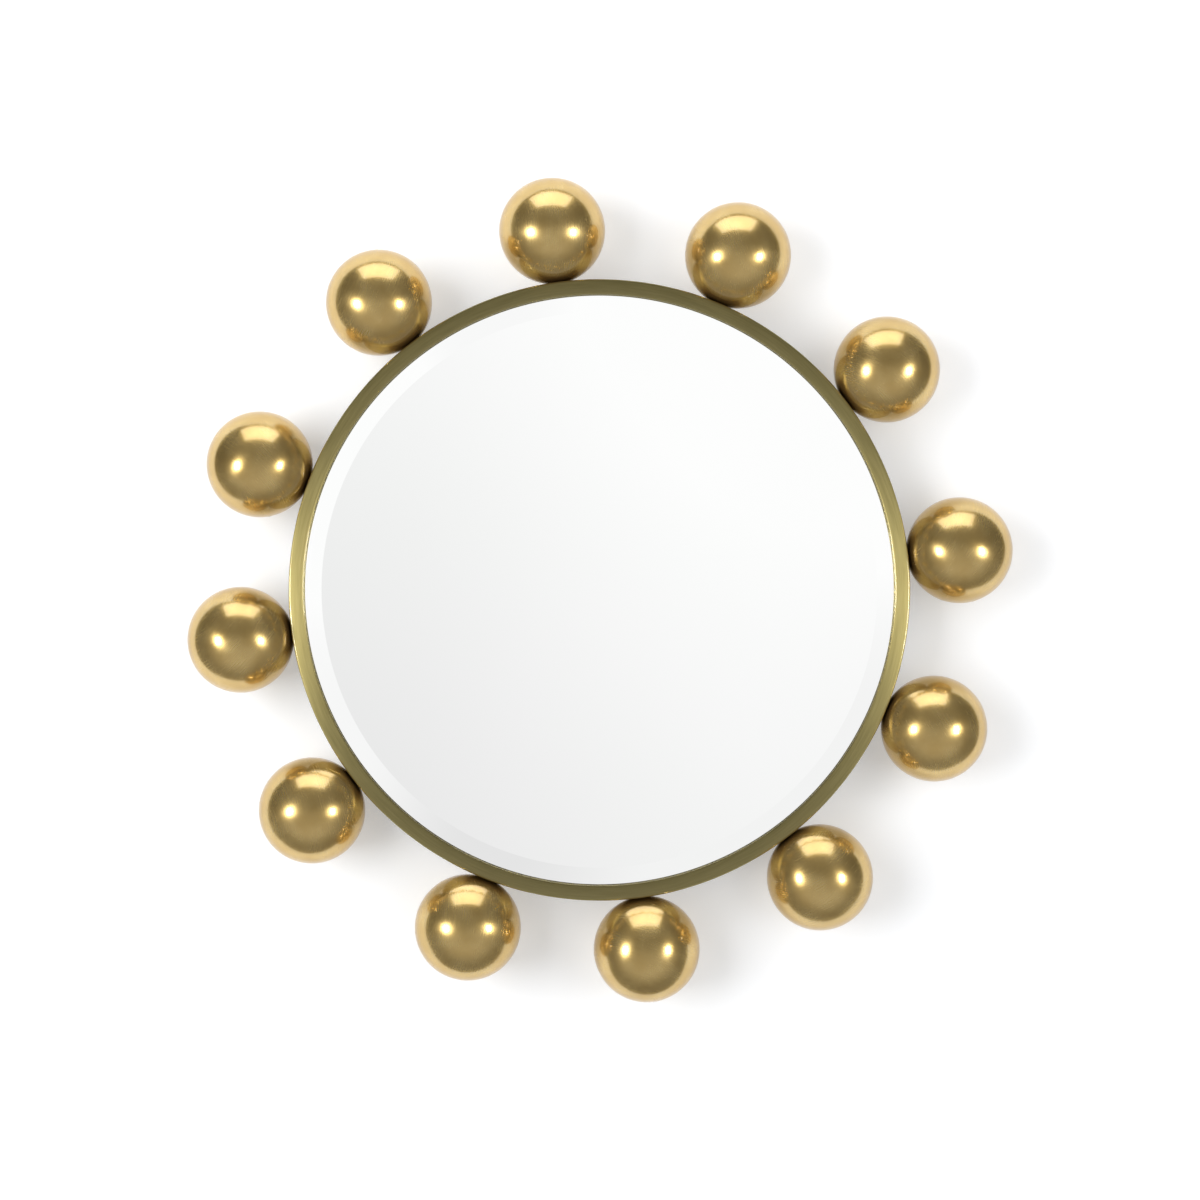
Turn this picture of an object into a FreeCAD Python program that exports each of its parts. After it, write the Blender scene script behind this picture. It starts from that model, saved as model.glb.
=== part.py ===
import FreeCAD, Part
import os
import re

import Sketcher

# A round bevelled wall mirror in a spun brass hoop, ringed by twelve hollow brass balls, with the two
# rails that it hangs on. Millimetres. X runs to the right and Z up, as seen by someone who faces the
# mirror, and Y runs away from that person, to the wall. The origin is on the mirror's axis, in the plane
# of the ball centres, which is also half way through the hoop's depth.
# Angles round the hoop are in degrees from straight up, clockwise as seen from the front.

doc = FreeCAD.newDocument("BallMirror")

SIZES = {
    # the brass hoop: a wall and, at its front, a lip that turns in over the glass
    "hoop_diameter": 604.0,
    "hoop_depth": 38.0,
    "hoop_thickness": 3.0,
    "lip_width": 15.0,
    "lip_crown": 0.5,
    "outer_edge_radius": 2.5,
    "inner_edge_radius": 2.0,
    # the balls, spun in thin brass, each with a flat where it seats on the hoop
    "ball_diameter": 104.0,
    "ball_shell": 1.2,
    "ball_seat_width": 12.0,
    "first_ball_angle": -7.5,
    # what holds a ball: a threaded bush inside it, a stud, a washer and a nut inside the hoop
    "bush_diameter": 16.0,
    "bush_length": 16.0,
    "stud_diameter": 6.0,
    "stud_grip": 13.0,
    "stud_proud": 2.0,
    "stud_hole_clearance": 0.3,
    "washer_diameter": 12.5,
    "washer_thickness": 1.6,
    "nut_width": 10.0,
    "nut_height": 5.0,
    # the glass and the rubber strip that it is bedded on
    "glass_gap": 4.0,
    "glass_thickness": 5.0,
    "bevel_width": 25.0,
    "bevel_drop": 2.5,
    "gasket_thickness": 1.5,
    "gasket_setback": 1.5,
    "fit_gap": 0.2,
    # the mastic and the board behind the glass
    "pad_diameter": 40.0,
    "pad_thickness": 2.5,
    "inner_pad_circle": 240.0,
    "outer_pad_circle": 450.0,
    "board_thickness": 15.0,
    "board_clearance": 3.0,
    "board_chamfer": 1.5,
    # the tabs brazed inside the hoop, and their screws
    "tab_thickness": 2.0,
    "tab_width": 22.0,
    "tab_foot": 10.0,
    "tab_reach": 36.0,
    "tab_screw_inset": 25.0,
    "first_tab_angle": 7.5,
    "tab_screw_diameter": 4.0,
    "tab_screw_head": 8.0,
    "tab_screw_length": 12.0,
    # the two battens that carry the mirror clear of the wall
    "batten_length": 360.0,
    "batten_height": 60.0,
    "batten_offset": 130.0,
    "batten_chamfer": 2.0,
    "batten_screw_diameter": 5.0,
    "batten_screw_head": 10.0,
    "batten_screw_length": 42.0,
    "batten_screw_pitch": 100.0,
    "ball_wall_gap": 2.0,
    # the pair of hanging rails, each a Z in section
    "rail_thickness": 3.0,
    "rail_clearance": 0.3,
    "rail_leg": 28.0,
    "rail_tip_chamfer": 0.8,
    "hook_length": 12.0,
    "hook_tip_clearance": 1.0,
    "mirror_rail_length": 300.0,
    "wall_rail_length": 260.0,
    "wall_hole_diameter": 5.5,
    "wall_hole_pitch": 70.0,
    "rail_screw_diameter": 4.0,
    "rail_screw_head": 8.0,
    "rail_screw_length": 20.0,
    "rail_screw_pitch": 120.0,
    # the rubber bumpers on the lower batten
    "bumper_diameter": 24.0,
    "bumper_taper": 1.0,
    "bumper_inset": 25.0,
    "bumper_recess_depth": 4.0,
    "bumper_screw_diameter": 3.5,
    "bumper_screw_head": 7.0,
    "bumper_screw_length": 16.0,
    # what the screws share: a pan head's height and crown, and the point, as shares of their diameters
    "pan_head_height_share": 0.32,
    "pan_head_crown_share": 0.6,
    "screw_point_share": 0.8,
    "screw_hole_clearance": 0.05,
}

# Places and sizes that follow from the ones above.
PLACES = {
    "hoop_radius": "hoop_diameter / 2",
    "hoop_front": "-hoop_depth / 2",
    "hoop_back": "hoop_depth / 2",
    "hoop_inside": "hoop_radius - hoop_thickness",
    "lip_radius": "hoop_radius - lip_width",
    "lip_back": "hoop_front + hoop_thickness",
    "ball_radius": "ball_diameter / 2",
    "ball_cavity": "ball_radius - ball_shell",
    "ball_seat_distance": "sqrt(ball_radius^2 - ball_seat_width^2 / 4)",
    "ball_circle": "hoop_radius + ball_seat_distance",
    "stud_hole_radius": "stud_diameter / 2 + stud_hole_clearance",
    "washer_seat": "sqrt(hoop_inside^2 - washer_diameter^2 / 4)",
    "stud_inner_end": "washer_seat - washer_thickness - nut_height - stud_proud",
    "glass_radius": "hoop_inside - glass_gap",
    "flat_radius": "glass_radius - bevel_width",
    "gasket_inside": "lip_radius + gasket_setback",
    "bevel_slope": "bevel_drop / bevel_width",
    "glass_front": "lip_back + gasket_thickness + fit_gap - bevel_slope * (gasket_inside - flat_radius)",
    "glass_back": "glass_front + glass_thickness",
    "board_front": "glass_back + pad_thickness",
    "board_back": "board_front + board_thickness",
    "board_radius": "stud_inner_end - board_clearance",
    "tab_screw_radius": "hoop_inside - tab_screw_inset",
    "wall_plane": "ball_radius + ball_wall_gap",
    "rail_depth": "2 * rail_thickness + 3 * rail_clearance",
    "batten_back": "wall_plane - rail_depth",
    "seat_height": "batten_offset - rail_leg / 2",
    "slot_floor": "seat_height - hook_length - hook_tip_clearance",
    "mirror_hook_front": "wall_plane - rail_clearance - rail_thickness",
    "wall_hook_back": "wall_plane - rail_thickness - 2 * rail_clearance",
    "mirror_hole_height": "seat_height + (rail_leg + rail_thickness) / 2",
    "wall_hole_height": "slot_floor - (rail_leg + rail_thickness) / 2",
    "bumper_place": "batten_length / 2 - bumper_inset",
}

BALLS = 12
BALL_PITCH = 360 / BALLS
# The balls were set by hand: these four stand out of the even pitch by this many degrees.
BALL_SHIFTS = {4: 1.2, 8: -1.2, 10: -0.4, 11: -2.2}
TABS = 6
TAB_PITCH = 360 / TABS
INNER_PADS = 6
OUTER_PADS = 12
BATTEN_SCREWS = 4
RAIL_SCREWS = 3
WALL_HOLES = 4

Y_AXIS = FreeCAD.Vector(0, 1, 0)
# Turns that lay a cylinder or a revolved screw, which stands along Z, along Y.
POINTING_FORWARD = FreeCAD.Rotation(FreeCAD.Vector(1, 0, 0), 90)
POINTING_BACK = FreeCAD.Rotation(FreeCAD.Vector(1, 0, 0), -90)


def fill_sheet(name, cells):
    """Makes a spreadsheet with a column of names and a column of aliased cells."""
    sheet = doc.addObject("Spreadsheet::Sheet", name)
    for row, (alias, content) in enumerate(cells.items(), start=1):
        sheet.set(f"A{row}", alias)
        sheet.set(f"B{row}", str(content))
        sheet.setAlias(f"B{row}", alias)
    doc.recompute()
    return sheet


def with_sheets(expression):
    """Puts the sheet's name before each word that is an alias."""

    def full(word):
        name = word.group(0)
        if name in SIZES:
            return "Sizes." + name
        if name in PLACES:
            return "Places." + name
        return name

    return re.sub(r"[a-z]\w*", full, str(expression))


sizes = fill_sheet("Sizes", SIZES)
places = fill_sheet("Places", {name: "=" + with_sheets(text) for name, text in PLACES.items()})


def worked(expression):
    """The number that an expression on the sheets comes to."""
    return float(sizes.evalExpression(with_sheets(expression)))


def bind(thing, **expressions):
    for prop, expression in expressions.items():
        thing.setExpression(prop, with_sheets(expression))


def place(thing, x="0", y="0", z="0", turn=None):
    """Puts an object at a place that follows the sheets, with a fixed turn."""
    thing.Placement = FreeCAD.Placement(FreeCAD.Vector(), turn or FreeCAD.Rotation())
    for axis, expression in zip("xyz", (x, y, z)):
        thing.setExpression(f"Placement.Base.{axis}", with_sheets(expression))


def turn_round_hoop(thing, angle):
    """Turns something made at the top of the hoop to its own angle."""
    thing.Placement = FreeCAD.Placement(FreeCAD.Vector(), FreeCAD.Rotation(Y_AXIS, 1))
    thing.setExpression("Placement.Rotation.Angle", with_sheets(angle))


# ---- sketches and bodies


def new_body(name):
    body = doc.addObject("PartDesign::Body", name)
    body.Label = name
    return body


def origin_feature(body, role):
    return next(f for f in body.Origin.OriginFeatures if f.Role == role)


def new_sketch(body, name, plane):
    sketch = body.newObject("Sketcher::SketchObject", name)
    sketch.AttachmentSupport = [(origin_feature(body, plane), "")]
    sketch.MapMode = "FlatFace"
    return sketch


def pin_point(sketch, geometry, end, point):
    """Holds one end of a line or arc at a place that follows the sheets."""
    for kind, expression in zip(("DistanceX", "DistanceY"), point):
        number = sketch.addConstraint(Sketcher.Constraint(kind, geometry, end, worked(expression)))
        sketch.setExpression(f"Constraints[{number}]", with_sheets(expression))


def draw_outline(sketch, corners, arcs=None):
    """A closed outline through corners given as expressions. arcs maps the number of the run that
    leaves a corner to the radius of its arc and the side, +1 or -1, on which its centre lies."""
    points = [FreeCAD.Vector(worked(x), worked(y), 0) for x, y in corners]
    for i, start in enumerate(points):
        end = points[(i + 1) % len(points)]
        if arcs and i in arcs:
            radius, side = arcs[i]
            sketch.addGeometry(arc_between(start, end, worked(radius), side), False)
        else:
            sketch.addGeometry(Part.LineSegment(start, end), False)
    for i, corner in enumerate(corners):
        before = (i - 1) % len(corners)
        sketch.addConstraint(Sketcher.Constraint("Coincident", *end_of(sketch, before, points[i]),
                                                 *end_of(sketch, i, points[i])))
        pin_point(sketch, *end_of(sketch, i, points[i]), corner)
    for i, (radius, side) in (arcs or {}).items():
        number = sketch.addConstraint(Sketcher.Constraint("Radius", i, worked(radius)))
        sketch.setExpression(f"Constraints[{number}]", with_sheets(radius))


def arc_between(start, end, radius, side):
    """The short arc of a given radius between two points, centred on one side of their chord."""
    middle = (start + end) / 2
    chord = end - start
    across = FreeCAD.Vector(-chord.y, chord.x, 0).normalize() * side
    height = (radius**2 - (chord.Length / 2) ** 2) ** 0.5
    crest = middle - across * (radius - height)
    return Part.Arc(start, crest, end)


def end_of(sketch, geometry, point):
    """Which end of a line or arc lies at a point: Sketcher numbers the ends 1 and 2."""
    return (geometry, 1) if sketch.getPoint(geometry, 1).distanceToPoint(point) < 1e-6 else (geometry, 2)


def revolve(body, sketch, angle="360"):
    """Turns a sketch about its own upright axis."""
    feature = body.newObject("PartDesign::Revolution", sketch.Name + "Turned")
    feature.Profile = sketch
    feature.ReferenceAxis = (sketch, ["V_Axis"])
    feature.Midplane = True
    bind(feature, Angle=angle)
    return feature


def pad_both_ways(body, sketch, length):
    feature = body.newObject("PartDesign::Pad", sketch.Name + "Pad")
    feature.Profile = sketch
    feature.Midplane = True
    bind(feature, Length=length)
    return feature


def dress(body, kind, edges, size):
    """A Fillet or Chamfer on the edges of the body's last feature that pass a test."""
    doc.recompute()
    base = body.Tip
    names = [f"Edge{n}" for n, edge in enumerate(base.Shape.Edges, start=1) if edges(edge)]
    feature = body.newObject("PartDesign::" + kind, body.Name + kind)
    feature.Base = (base, names)
    bind(feature, **{"Radius" if kind == "Fillet" else "Size": size})
    return feature


def on_circle(edge, radius, y):
    """Whether an edge is the circle of a radius about the mirror's axis, at a depth."""
    curve = edge.Curve
    if not isinstance(curve, Part.Circle):
        return False
    return abs(curve.Radius - worked(radius)) < 1e-4 and abs(curve.Center.y - worked(y)) < 1e-4


def drill(body, name, radius, depth, turn=None, x="0", y="0", z="0"):
    """A round hole that starts at a place and runs along the turned Z axis."""
    cutter = body.newObject("PartDesign::SubtractiveCylinder", name)
    bind(cutter, Radius=radius, Height=depth)
    place(cutter, x, y, z, turn)
    return cutter


def repeat_in_row(body, hole, count, pitch):
    """Repeats a hole along X, from the one at the low end."""
    row = body.newObject("PartDesign::LinearPattern", hole.Name + "Row")
    row.Originals = [hole]
    row.Direction = (origin_feature(body, "X_Axis"), [""])
    row.Occurrences = count
    bind(row, Length=f"{pitch} * {count - 1}")
    body.Tip = row


def repeat_round_axis(body, hole, count):
    ring = body.newObject("PartDesign::PolarPattern", hole.Name + "Ring")
    ring.Originals = [hole]
    ring.Axis = (origin_feature(body, "Y_Axis"), [""])
    ring.Angle = 360
    ring.Occurrences = count
    body.Tip = ring


# ---- groups of like pieces


def copies(name, pattern, put):
    """One node of many like solids. put is a list of functions that each place one copy."""
    links = []
    for number, place_copy in enumerate(put, start=1):
        link = doc.addObject("App::Link", f"{name}_{number:02d}")
        link.LinkedObject = pattern
        link.LinkTransform = True
        place_copy(link)
        links.append(link)
    group = doc.addObject("Part::Compound", name)
    group.Label = name
    group.Links = links
    return group


def cylinder(name, radius, height, z="0"):
    thing = doc.addObject("Part::Cylinder", name)
    bind(thing, Radius=radius, Height=height)
    place(thing, z=z)
    return thing


def joined(kind, name, base, tool):
    thing = doc.addObject("Part::" + kind, name)
    thing.Base = base
    thing.Tool = tool
    return thing


def screw(name, diameter, length, head, countersunk=False):
    """A wood screw along Z, with its point down and the underside of its pan head, or the top of its
    countersunk head, at the origin."""
    body = new_body(name)
    sketch = new_sketch(body, name + "Half", "XZ_Plane")
    shank = f"{diameter} / 2"
    rim = f"{head} / 2"
    point_start = f"-{length} + {diameter} * screw_point_share"
    below = [(shank, point_start), ("0", f"-{length}")]
    if countersunk:
        draw_outline(sketch, [("0", "0"), (rim, "0"), (shank, f"-({rim} - {shank})")] + below)
    else:
        top = f"{head} * pan_head_height_share"
        crown = f"{rim} * pan_head_crown_share"
        shoulder = f"{top} / 2"
        draw_outline(sketch, [("0", top), (crown, top), (rim, shoulder), (rim, "0"), (shank, "0")] + below)
    revolve(body, sketch)
    return body


# ---- the hoop


def make_hoop():
    body = new_body("frame_hoop")
    section = new_sketch(body, "HoopSection", "XY_Plane")
    half_lip = "(lip_width / 2)"
    crown_radius = f"({half_lip}^2 + lip_crown^2) / (2 * lip_crown)"
    draw_outline(
        section,
        [
            ("hoop_radius", "hoop_back"),
            ("hoop_radius", "hoop_front"),
            ("lip_radius", "hoop_front"),
            ("lip_radius", "lip_back"),
            ("hoop_inside", "lip_back"),
            ("hoop_inside", "hoop_back"),
        ],
        arcs={1: (crown_radius, -1)},
    )
    revolve(body, section)
    dress(body, "Fillet", lambda edge: on_circle(edge, "hoop_radius", "hoop_front"), "outer_edge_radius")
    dress(body, "Fillet", lambda edge: on_circle(edge, "lip_radius", "hoop_front"), "inner_edge_radius")
    for number in range(1, BALLS + 1):
        hole = drill(body, f"StudHole{number:02d}", "stud_hole_radius", "hoop_radius + ball_radius")
        turn_round_hoop(hole, ball_angle(number))
    return body


def ball_angle(number):
    shift = BALL_SHIFTS.get(number, 0)
    return f"first_ball_angle + {(number - 1) * BALL_PITCH + shift}"


# ---- the balls and what holds them


def make_ball(number):
    """A hollow ball with a flat seat on the hoop and a hole for its stud."""
    body = new_body(f"ball_{number:02d}")
    half = new_sketch(body, f"BallHalf{number:02d}", "XZ_Plane")
    seat_half = "ball_seat_width / 2"
    draw_half_shell(half, seat_half)
    revolve(body, half)
    turn_round_hoop(body, ball_angle(number))
    return body


def draw_half_shell(sketch, seat_half):
    """Half of the ball's section: two arcs about its centre, the seat, the stud hole and the far pole."""
    centre = FreeCAD.Vector(0, worked("ball_circle"), 0)
    seat_corner = FreeCAD.Vector(worked(seat_half), worked("hoop_radius"), 0)
    hole_corner = FreeCAD.Vector(worked("stud_hole_radius"), worked("hoop_radius"), 0)
    cavity = worked("ball_cavity")
    hole = worked("stud_hole_radius")
    inner_corner = centre + FreeCAD.Vector(hole, -((cavity**2 - hole**2) ** 0.5), 0)
    far_outside = centre + FreeCAD.Vector(0, worked("ball_radius"), 0)
    far_inside = centre + FreeCAD.Vector(0, cavity, 0)
    outside = Part.Arc(seat_corner, centre + FreeCAD.Vector(worked("ball_radius"), 0, 0), far_outside)
    inside = Part.Arc(inner_corner, centre + FreeCAD.Vector(cavity, 0, 0), far_inside)
    runs = [
        outside,
        Part.LineSegment(far_outside, far_inside),
        inside,
        Part.LineSegment(inner_corner, hole_corner),
        Part.LineSegment(hole_corner, seat_corner),
    ]
    sketch.addGeometry(runs, False)
    meetings = [(0, 1, far_outside), (1, 2, far_inside), (2, 3, inner_corner), (3, 4, hole_corner),
                (4, 0, seat_corner)]
    for first, second, point in meetings:
        sketch.addConstraint(Sketcher.Constraint("Coincident", *end_of(sketch, first, point),
                                                 *end_of(sketch, second, point)))
    centre_mark = 3
    for arc, radius in ((0, "ball_radius"), (2, "ball_cavity")):
        pin_point(sketch, arc, centre_mark, ("0", "ball_circle"))
        number = sketch.addConstraint(Sketcher.Constraint("Radius", arc, worked(radius)))
        sketch.setExpression(f"Constraints[{number}]", with_sheets(radius))
    upright = -2
    for run, point in ((1, far_outside), (1, far_inside)):
        sketch.addConstraint(Sketcher.Constraint("PointOnObject", *end_of(sketch, run, point), upright))
    pin_point(sketch, *end_of(sketch, 4, hole_corner), ("stud_hole_radius", "hoop_radius"))
    sketch.addConstraint(Sketcher.Constraint("Horizontal", 4))
    sketch.addConstraint(Sketcher.Constraint("Vertical", 3))


def round_the_balls():
    """One placing function for each ball's fastener."""
    return [lambda thing, n=n: turn_round_hoop(thing, ball_angle(n)) for n in range(1, BALLS + 1)]


def make_ball_fasteners():
    blank = cylinder("BushBlank", "bush_diameter / 2", "bush_length + ball_shell", "hoop_radius")
    cavity = doc.addObject("Part::Sphere", "BallCavity")
    bind(cavity, Radius="ball_cavity")
    place(cavity, z="ball_circle")
    domed = joined("Common", "BushDomed", blank, cavity)
    thread_radius = "stud_diameter / 2 + screw_hole_clearance"
    thread = cylinder("BushThread", thread_radius, "bush_length * 2", "hoop_radius")
    bush = joined("Cut", "Bush", domed, thread)

    stud = cylinder("Stud", "stud_diameter / 2", "hoop_radius + stud_grip - stud_inner_end", "stud_inner_end")

    washer = joined(
        "Cut",
        "Washer",
        cylinder("WasherDisc", "washer_diameter / 2", "washer_thickness", "washer_seat - washer_thickness"),
        cylinder("WasherHole", "stud_hole_radius", "washer_thickness", "washer_seat - washer_thickness"),
    )

    nut_foot = "washer_seat - washer_thickness - nut_height"
    blank = doc.addObject("Part::Prism", "NutBlank")
    blank.Polygon = 6
    bind(blank, Circumradius="nut_width / sqrt(3)", Height="nut_height")
    place(blank, z=nut_foot)
    nut = joined("Cut", "Nut", blank, cylinder("NutThread", thread_radius, "nut_height", nut_foot))

    return [
        copies("ball_bushes", bush, round_the_balls()),
        copies("ball_studs", stud, round_the_balls()),
        copies("ball_washers", washer, round_the_balls()),
        copies("ball_nuts", nut, round_the_balls()),
    ]


# ---- the glass, its bedding and the board


def make_glass():
    body = new_body("mirror_glass")
    section = new_sketch(body, "GlassSection", "XY_Plane")
    draw_outline(
        section,
        [
            ("0", "glass_front"),
            ("flat_radius", "glass_front"),
            ("glass_radius", "glass_front + bevel_drop"),
            ("glass_radius", "glass_back"),
            ("0", "glass_back"),
        ],
    )
    revolve(body, section)
    return body


def make_gasket():
    """A rubber strip of L section: one leg between lip and bevel, one between the glass and the wall."""
    body = new_body("glazing_gasket")
    section = new_sketch(body, "GasketSection", "XY_Plane")
    leg_inside = "(glass_radius + fit_gap)"
    draw_outline(
        section,
        [
            ("gasket_inside", "lip_back"),
            ("hoop_inside - fit_gap", "lip_back"),
            ("hoop_inside - fit_gap", "glass_back"),
            (leg_inside, "glass_back"),
            (leg_inside, f"glass_front - fit_gap + bevel_slope * ({leg_inside} - flat_radius)"),
            ("gasket_inside", "lip_back + gasket_thickness"),
        ],
    )
    revolve(body, section)
    return body


def make_mastic():
    """Round dabs of mastic between the glass and the board: one in the middle and two rings."""
    pad = cylinder("Pad", "pad_diameter / 2", "pad_thickness")

    def at(radius, angle):
        def put(thing):
            place(thing, f"{radius} * sin({angle})", "glass_back", f"{radius} * cos({angle})", POINTING_BACK)

        return put

    put = [at("0", 0)]
    put += [at("inner_pad_circle / 2", n * 360 / INNER_PADS) for n in range(INNER_PADS)]
    put += [at("outer_pad_circle / 2", (n + 0.5) * 360 / OUTER_PADS) for n in range(OUTER_PADS)]
    return copies("mastic_pads", pad, put)


def make_board():
    body = new_body("backing_board")
    section = new_sketch(body, "BoardSection", "XY_Plane")
    draw_outline(
        section,
        [("0", "board_front"), ("board_radius", "board_front"), ("board_radius", "board_back"), ("0", "board_back")],
    )
    revolve(body, section)
    dress(body, "Chamfer", lambda edge: on_circle(edge, "board_radius", "board_back"), "board_chamfer")
    hole = drill(
        body,
        "TabPilot",
        "tab_screw_diameter / 2 + screw_hole_clearance",
        "tab_screw_length - tab_thickness + screw_hole_clearance",
        POINTING_FORWARD,
        "tab_screw_radius * sin(first_tab_angle)",
        "board_back",
        "tab_screw_radius * cos(first_tab_angle)",
    )
    repeat_round_axis(body, hole, TABS)
    doc.recompute()
    drill_countersinks(body)
    return body


def batten_screw_places():
    """X and Z of each screw through the board into the battens."""
    first = -(BATTEN_SCREWS - 1) / 2
    rows = ("batten_offset", "-batten_offset")
    return [(f"{first + n} * batten_screw_pitch", row) for row in rows for n in range(BATTEN_SCREWS)]


def drill_countersinks(body):
    """Countersunk holes from the board's front, where the mirror hides the screws."""
    marks = new_sketch(body, "BattenScrewMarks", "XZ_Plane")
    marks.setExpression("AttachmentOffset.Base.z", with_sheets("-board_front"))
    radius = worked("batten_screw_diameter / 2")
    for number, (x, z) in enumerate(batten_screw_places()):
        centre = FreeCAD.Vector(worked(x), worked(z), 0)
        marks.addGeometry(Part.Circle(centre, FreeCAD.Vector(0, 0, 1), radius), False)
        pin_point(marks, number, 3, (x, z))
        marks.addConstraint(Sketcher.Constraint("Radius", number, radius))
    doc.recompute()
    before = body.Shape.Volume
    hole = body.newObject("PartDesign::Hole", "BattenScrewHoles")
    hole.Profile = marks
    doc.recompute()
    hole.ThreadType = "None"
    hole.DepthType = "ThroughAll"
    hole.HoleCutType = "Countersink"
    hole.HoleCutCustomValues = True
    hole.HoleCutCountersinkAngle = 90
    bind(hole, Diameter="batten_screw_diameter + 2 * screw_hole_clearance")
    bind(hole, HoleCutDiameter="batten_screw_head + 2 * screw_hole_clearance")
    doc.recompute()
    if body.Shape.Volume > before - 1:
        raise RuntimeError("the batten screws' holes cut nothing")


# ---- the tabs


def make_tab(number):
    """An L of brass strip: its foot is brazed inside the hoop and its arm lies on the board."""
    body = new_body(f"retaining_tab_{number}")
    section = new_sketch(body, f"TabSection{number}", "YZ_Plane")
    foot_face = "(hoop_inside - fit_gap / 2)"
    draw_outline(
        section,
        [
            ("board_back", f"hoop_inside - tab_reach"),
            ("board_back", foot_face),
            ("board_back + tab_foot", foot_face),
            ("board_back + tab_foot", f"{foot_face} - tab_thickness"),
            ("board_back + tab_thickness", f"{foot_face} - tab_thickness"),
            ("board_back + tab_thickness", f"hoop_inside - tab_reach"),
        ],
    )
    pad_both_ways(body, section, "tab_width")
    doc.recompute()
    round_the_foot(body, number)
    drill(
        body,
        f"TabHole{number}",
        "tab_screw_diameter / 2 + stud_hole_clearance",
        "tab_foot",
        POINTING_BACK,
        y="board_back - tab_thickness",
        z="tab_screw_radius",
    )
    turn_round_hoop(body, f"first_tab_angle + {(number - 1) * TAB_PITCH}")
    return body


def round_the_foot(body, number):
    """Cuts the foot's outer face to the hoop's own curve."""
    shape_of_hoop = new_sketch(body, f"TabFootCurve{number}", "XZ_Plane")
    foot_face = "hoop_inside - fit_gap / 2"
    far = "tab_width"
    corner_height = f"sqrt(({foot_face})^2 - {far}^2)"
    draw_outline(
        shape_of_hoop,
        [(f"-{far}", corner_height), (far, corner_height), (far, "hoop_radius"), (f"-{far}", "hoop_radius")],
        arcs={0: (foot_face, -1)},
    )
    before = body.Shape.Volume
    pocket = body.newObject("PartDesign::Pocket", f"TabFootTrim{number}")
    pocket.Profile = shape_of_hoop
    pocket.Midplane = True
    bind(pocket, Length="2 * (abs(board_back) + tab_foot + hoop_depth)")
    doc.recompute()
    if not 0 < before - body.Shape.Volume < before / 2:
        raise RuntimeError("the tab's foot wasn't trimmed to the hoop")


def make_tab_screws():
    pattern = screw("TabScrew", "tab_screw_diameter", "tab_screw_length", "tab_screw_head")

    def at(angle):
        def put(thing):
            place(
                thing,
                f"tab_screw_radius * sin({angle})",
                "board_back + tab_thickness",
                f"tab_screw_radius * cos({angle})",
                POINTING_BACK,
            )

        return put

    return copies("tab_screws", pattern, [at(f"(first_tab_angle + {n * TAB_PITCH})") for n in range(TABS)])


# ---- the battens, rails and bumpers


def make_batten(name, side):
    """A planed batten on the back of the board. side is 1 above the middle and -1 below."""
    body = new_body(name)
    section = new_sketch(body, name + "Section", "YZ_Plane")
    low = f"{side} * batten_offset - batten_height / 2"
    high = f"{side} * batten_offset + batten_height / 2"
    draw_outline(
        section, [("board_back", low), ("batten_back", low), ("batten_back", high), ("board_back", high)]
    )
    pad_both_ways(body, section, "batten_length")
    back = worked("batten_back")
    dress(
        body,
        "Chamfer",
        lambda edge: all(abs(v.Y - back) < 1e-6 for v in edge.Vertexes),
        "batten_chamfer",
    )
    first = -(BATTEN_SCREWS - 1) / 2
    hole = drill(
        body,
        name + "FrontPilot",
        "batten_screw_diameter / 2 + screw_hole_clearance",
        "batten_screw_length - board_thickness + screw_hole_clearance",
        POINTING_BACK,
        f"{first} * batten_screw_pitch",
        "board_back",
        f"{side} * batten_offset",
    )
    repeat_in_row(body, hole, BATTEN_SCREWS, "batten_screw_pitch")
    doc.recompute()
    return body


def make_upper_batten():
    body = make_batten("upper_batten", 1)
    first = -(RAIL_SCREWS - 1) / 2
    hole = drill(
        body,
        "RailPilot",
        "rail_screw_diameter / 2 + screw_hole_clearance",
        "rail_screw_length - rail_thickness + screw_hole_clearance",
        POINTING_FORWARD,
        f"{first} * rail_screw_pitch",
        "batten_back",
        "mirror_hole_height",
    )
    repeat_in_row(body, hole, RAIL_SCREWS, "rail_screw_pitch")
    return body


def make_lower_batten():
    body = make_batten("lower_batten", -1)
    hole = drill(
        body,
        "BumperPilot",
        "bumper_screw_diameter / 2 + screw_hole_clearance",
        "bumper_screw_length - rail_depth + bumper_recess_depth + screw_hole_clearance",
        POINTING_FORWARD,
        "-bumper_place",
        "batten_back",
        "-batten_offset",
    )
    repeat_in_row(body, hole, 2, "2 * bumper_place")
    return body


def make_batten_screws():
    pattern = screw(
        "BattenScrew", "batten_screw_diameter", "batten_screw_length", "batten_screw_head", countersunk=True
    )

    def at(x, z):
        return lambda thing: place(thing, x, "board_front", z, POINTING_FORWARD)

    return copies("batten_screws", pattern, [at(x, z) for x, z in batten_screw_places()])


def soften_tip(body, y_low, z_tip):
    """Chamfers both long edges of a hook's tip, which lead the other rail in."""
    near = worked(y_low)
    far = near + worked("rail_thickness")
    tip = worked(z_tip)

    def is_tip(edge):
        along_x = edge.BoundBox.XLength > 1
        at_tip = all(abs(v.Z - tip) < 1e-6 for v in edge.Vertexes)
        on_hook = all(near - 1e-6 < v.Y < far + 1e-6 for v in edge.Vertexes)
        return along_x and at_tip and on_hook

    dress(body, "Chamfer", is_tip, "rail_tip_chamfer")


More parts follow.
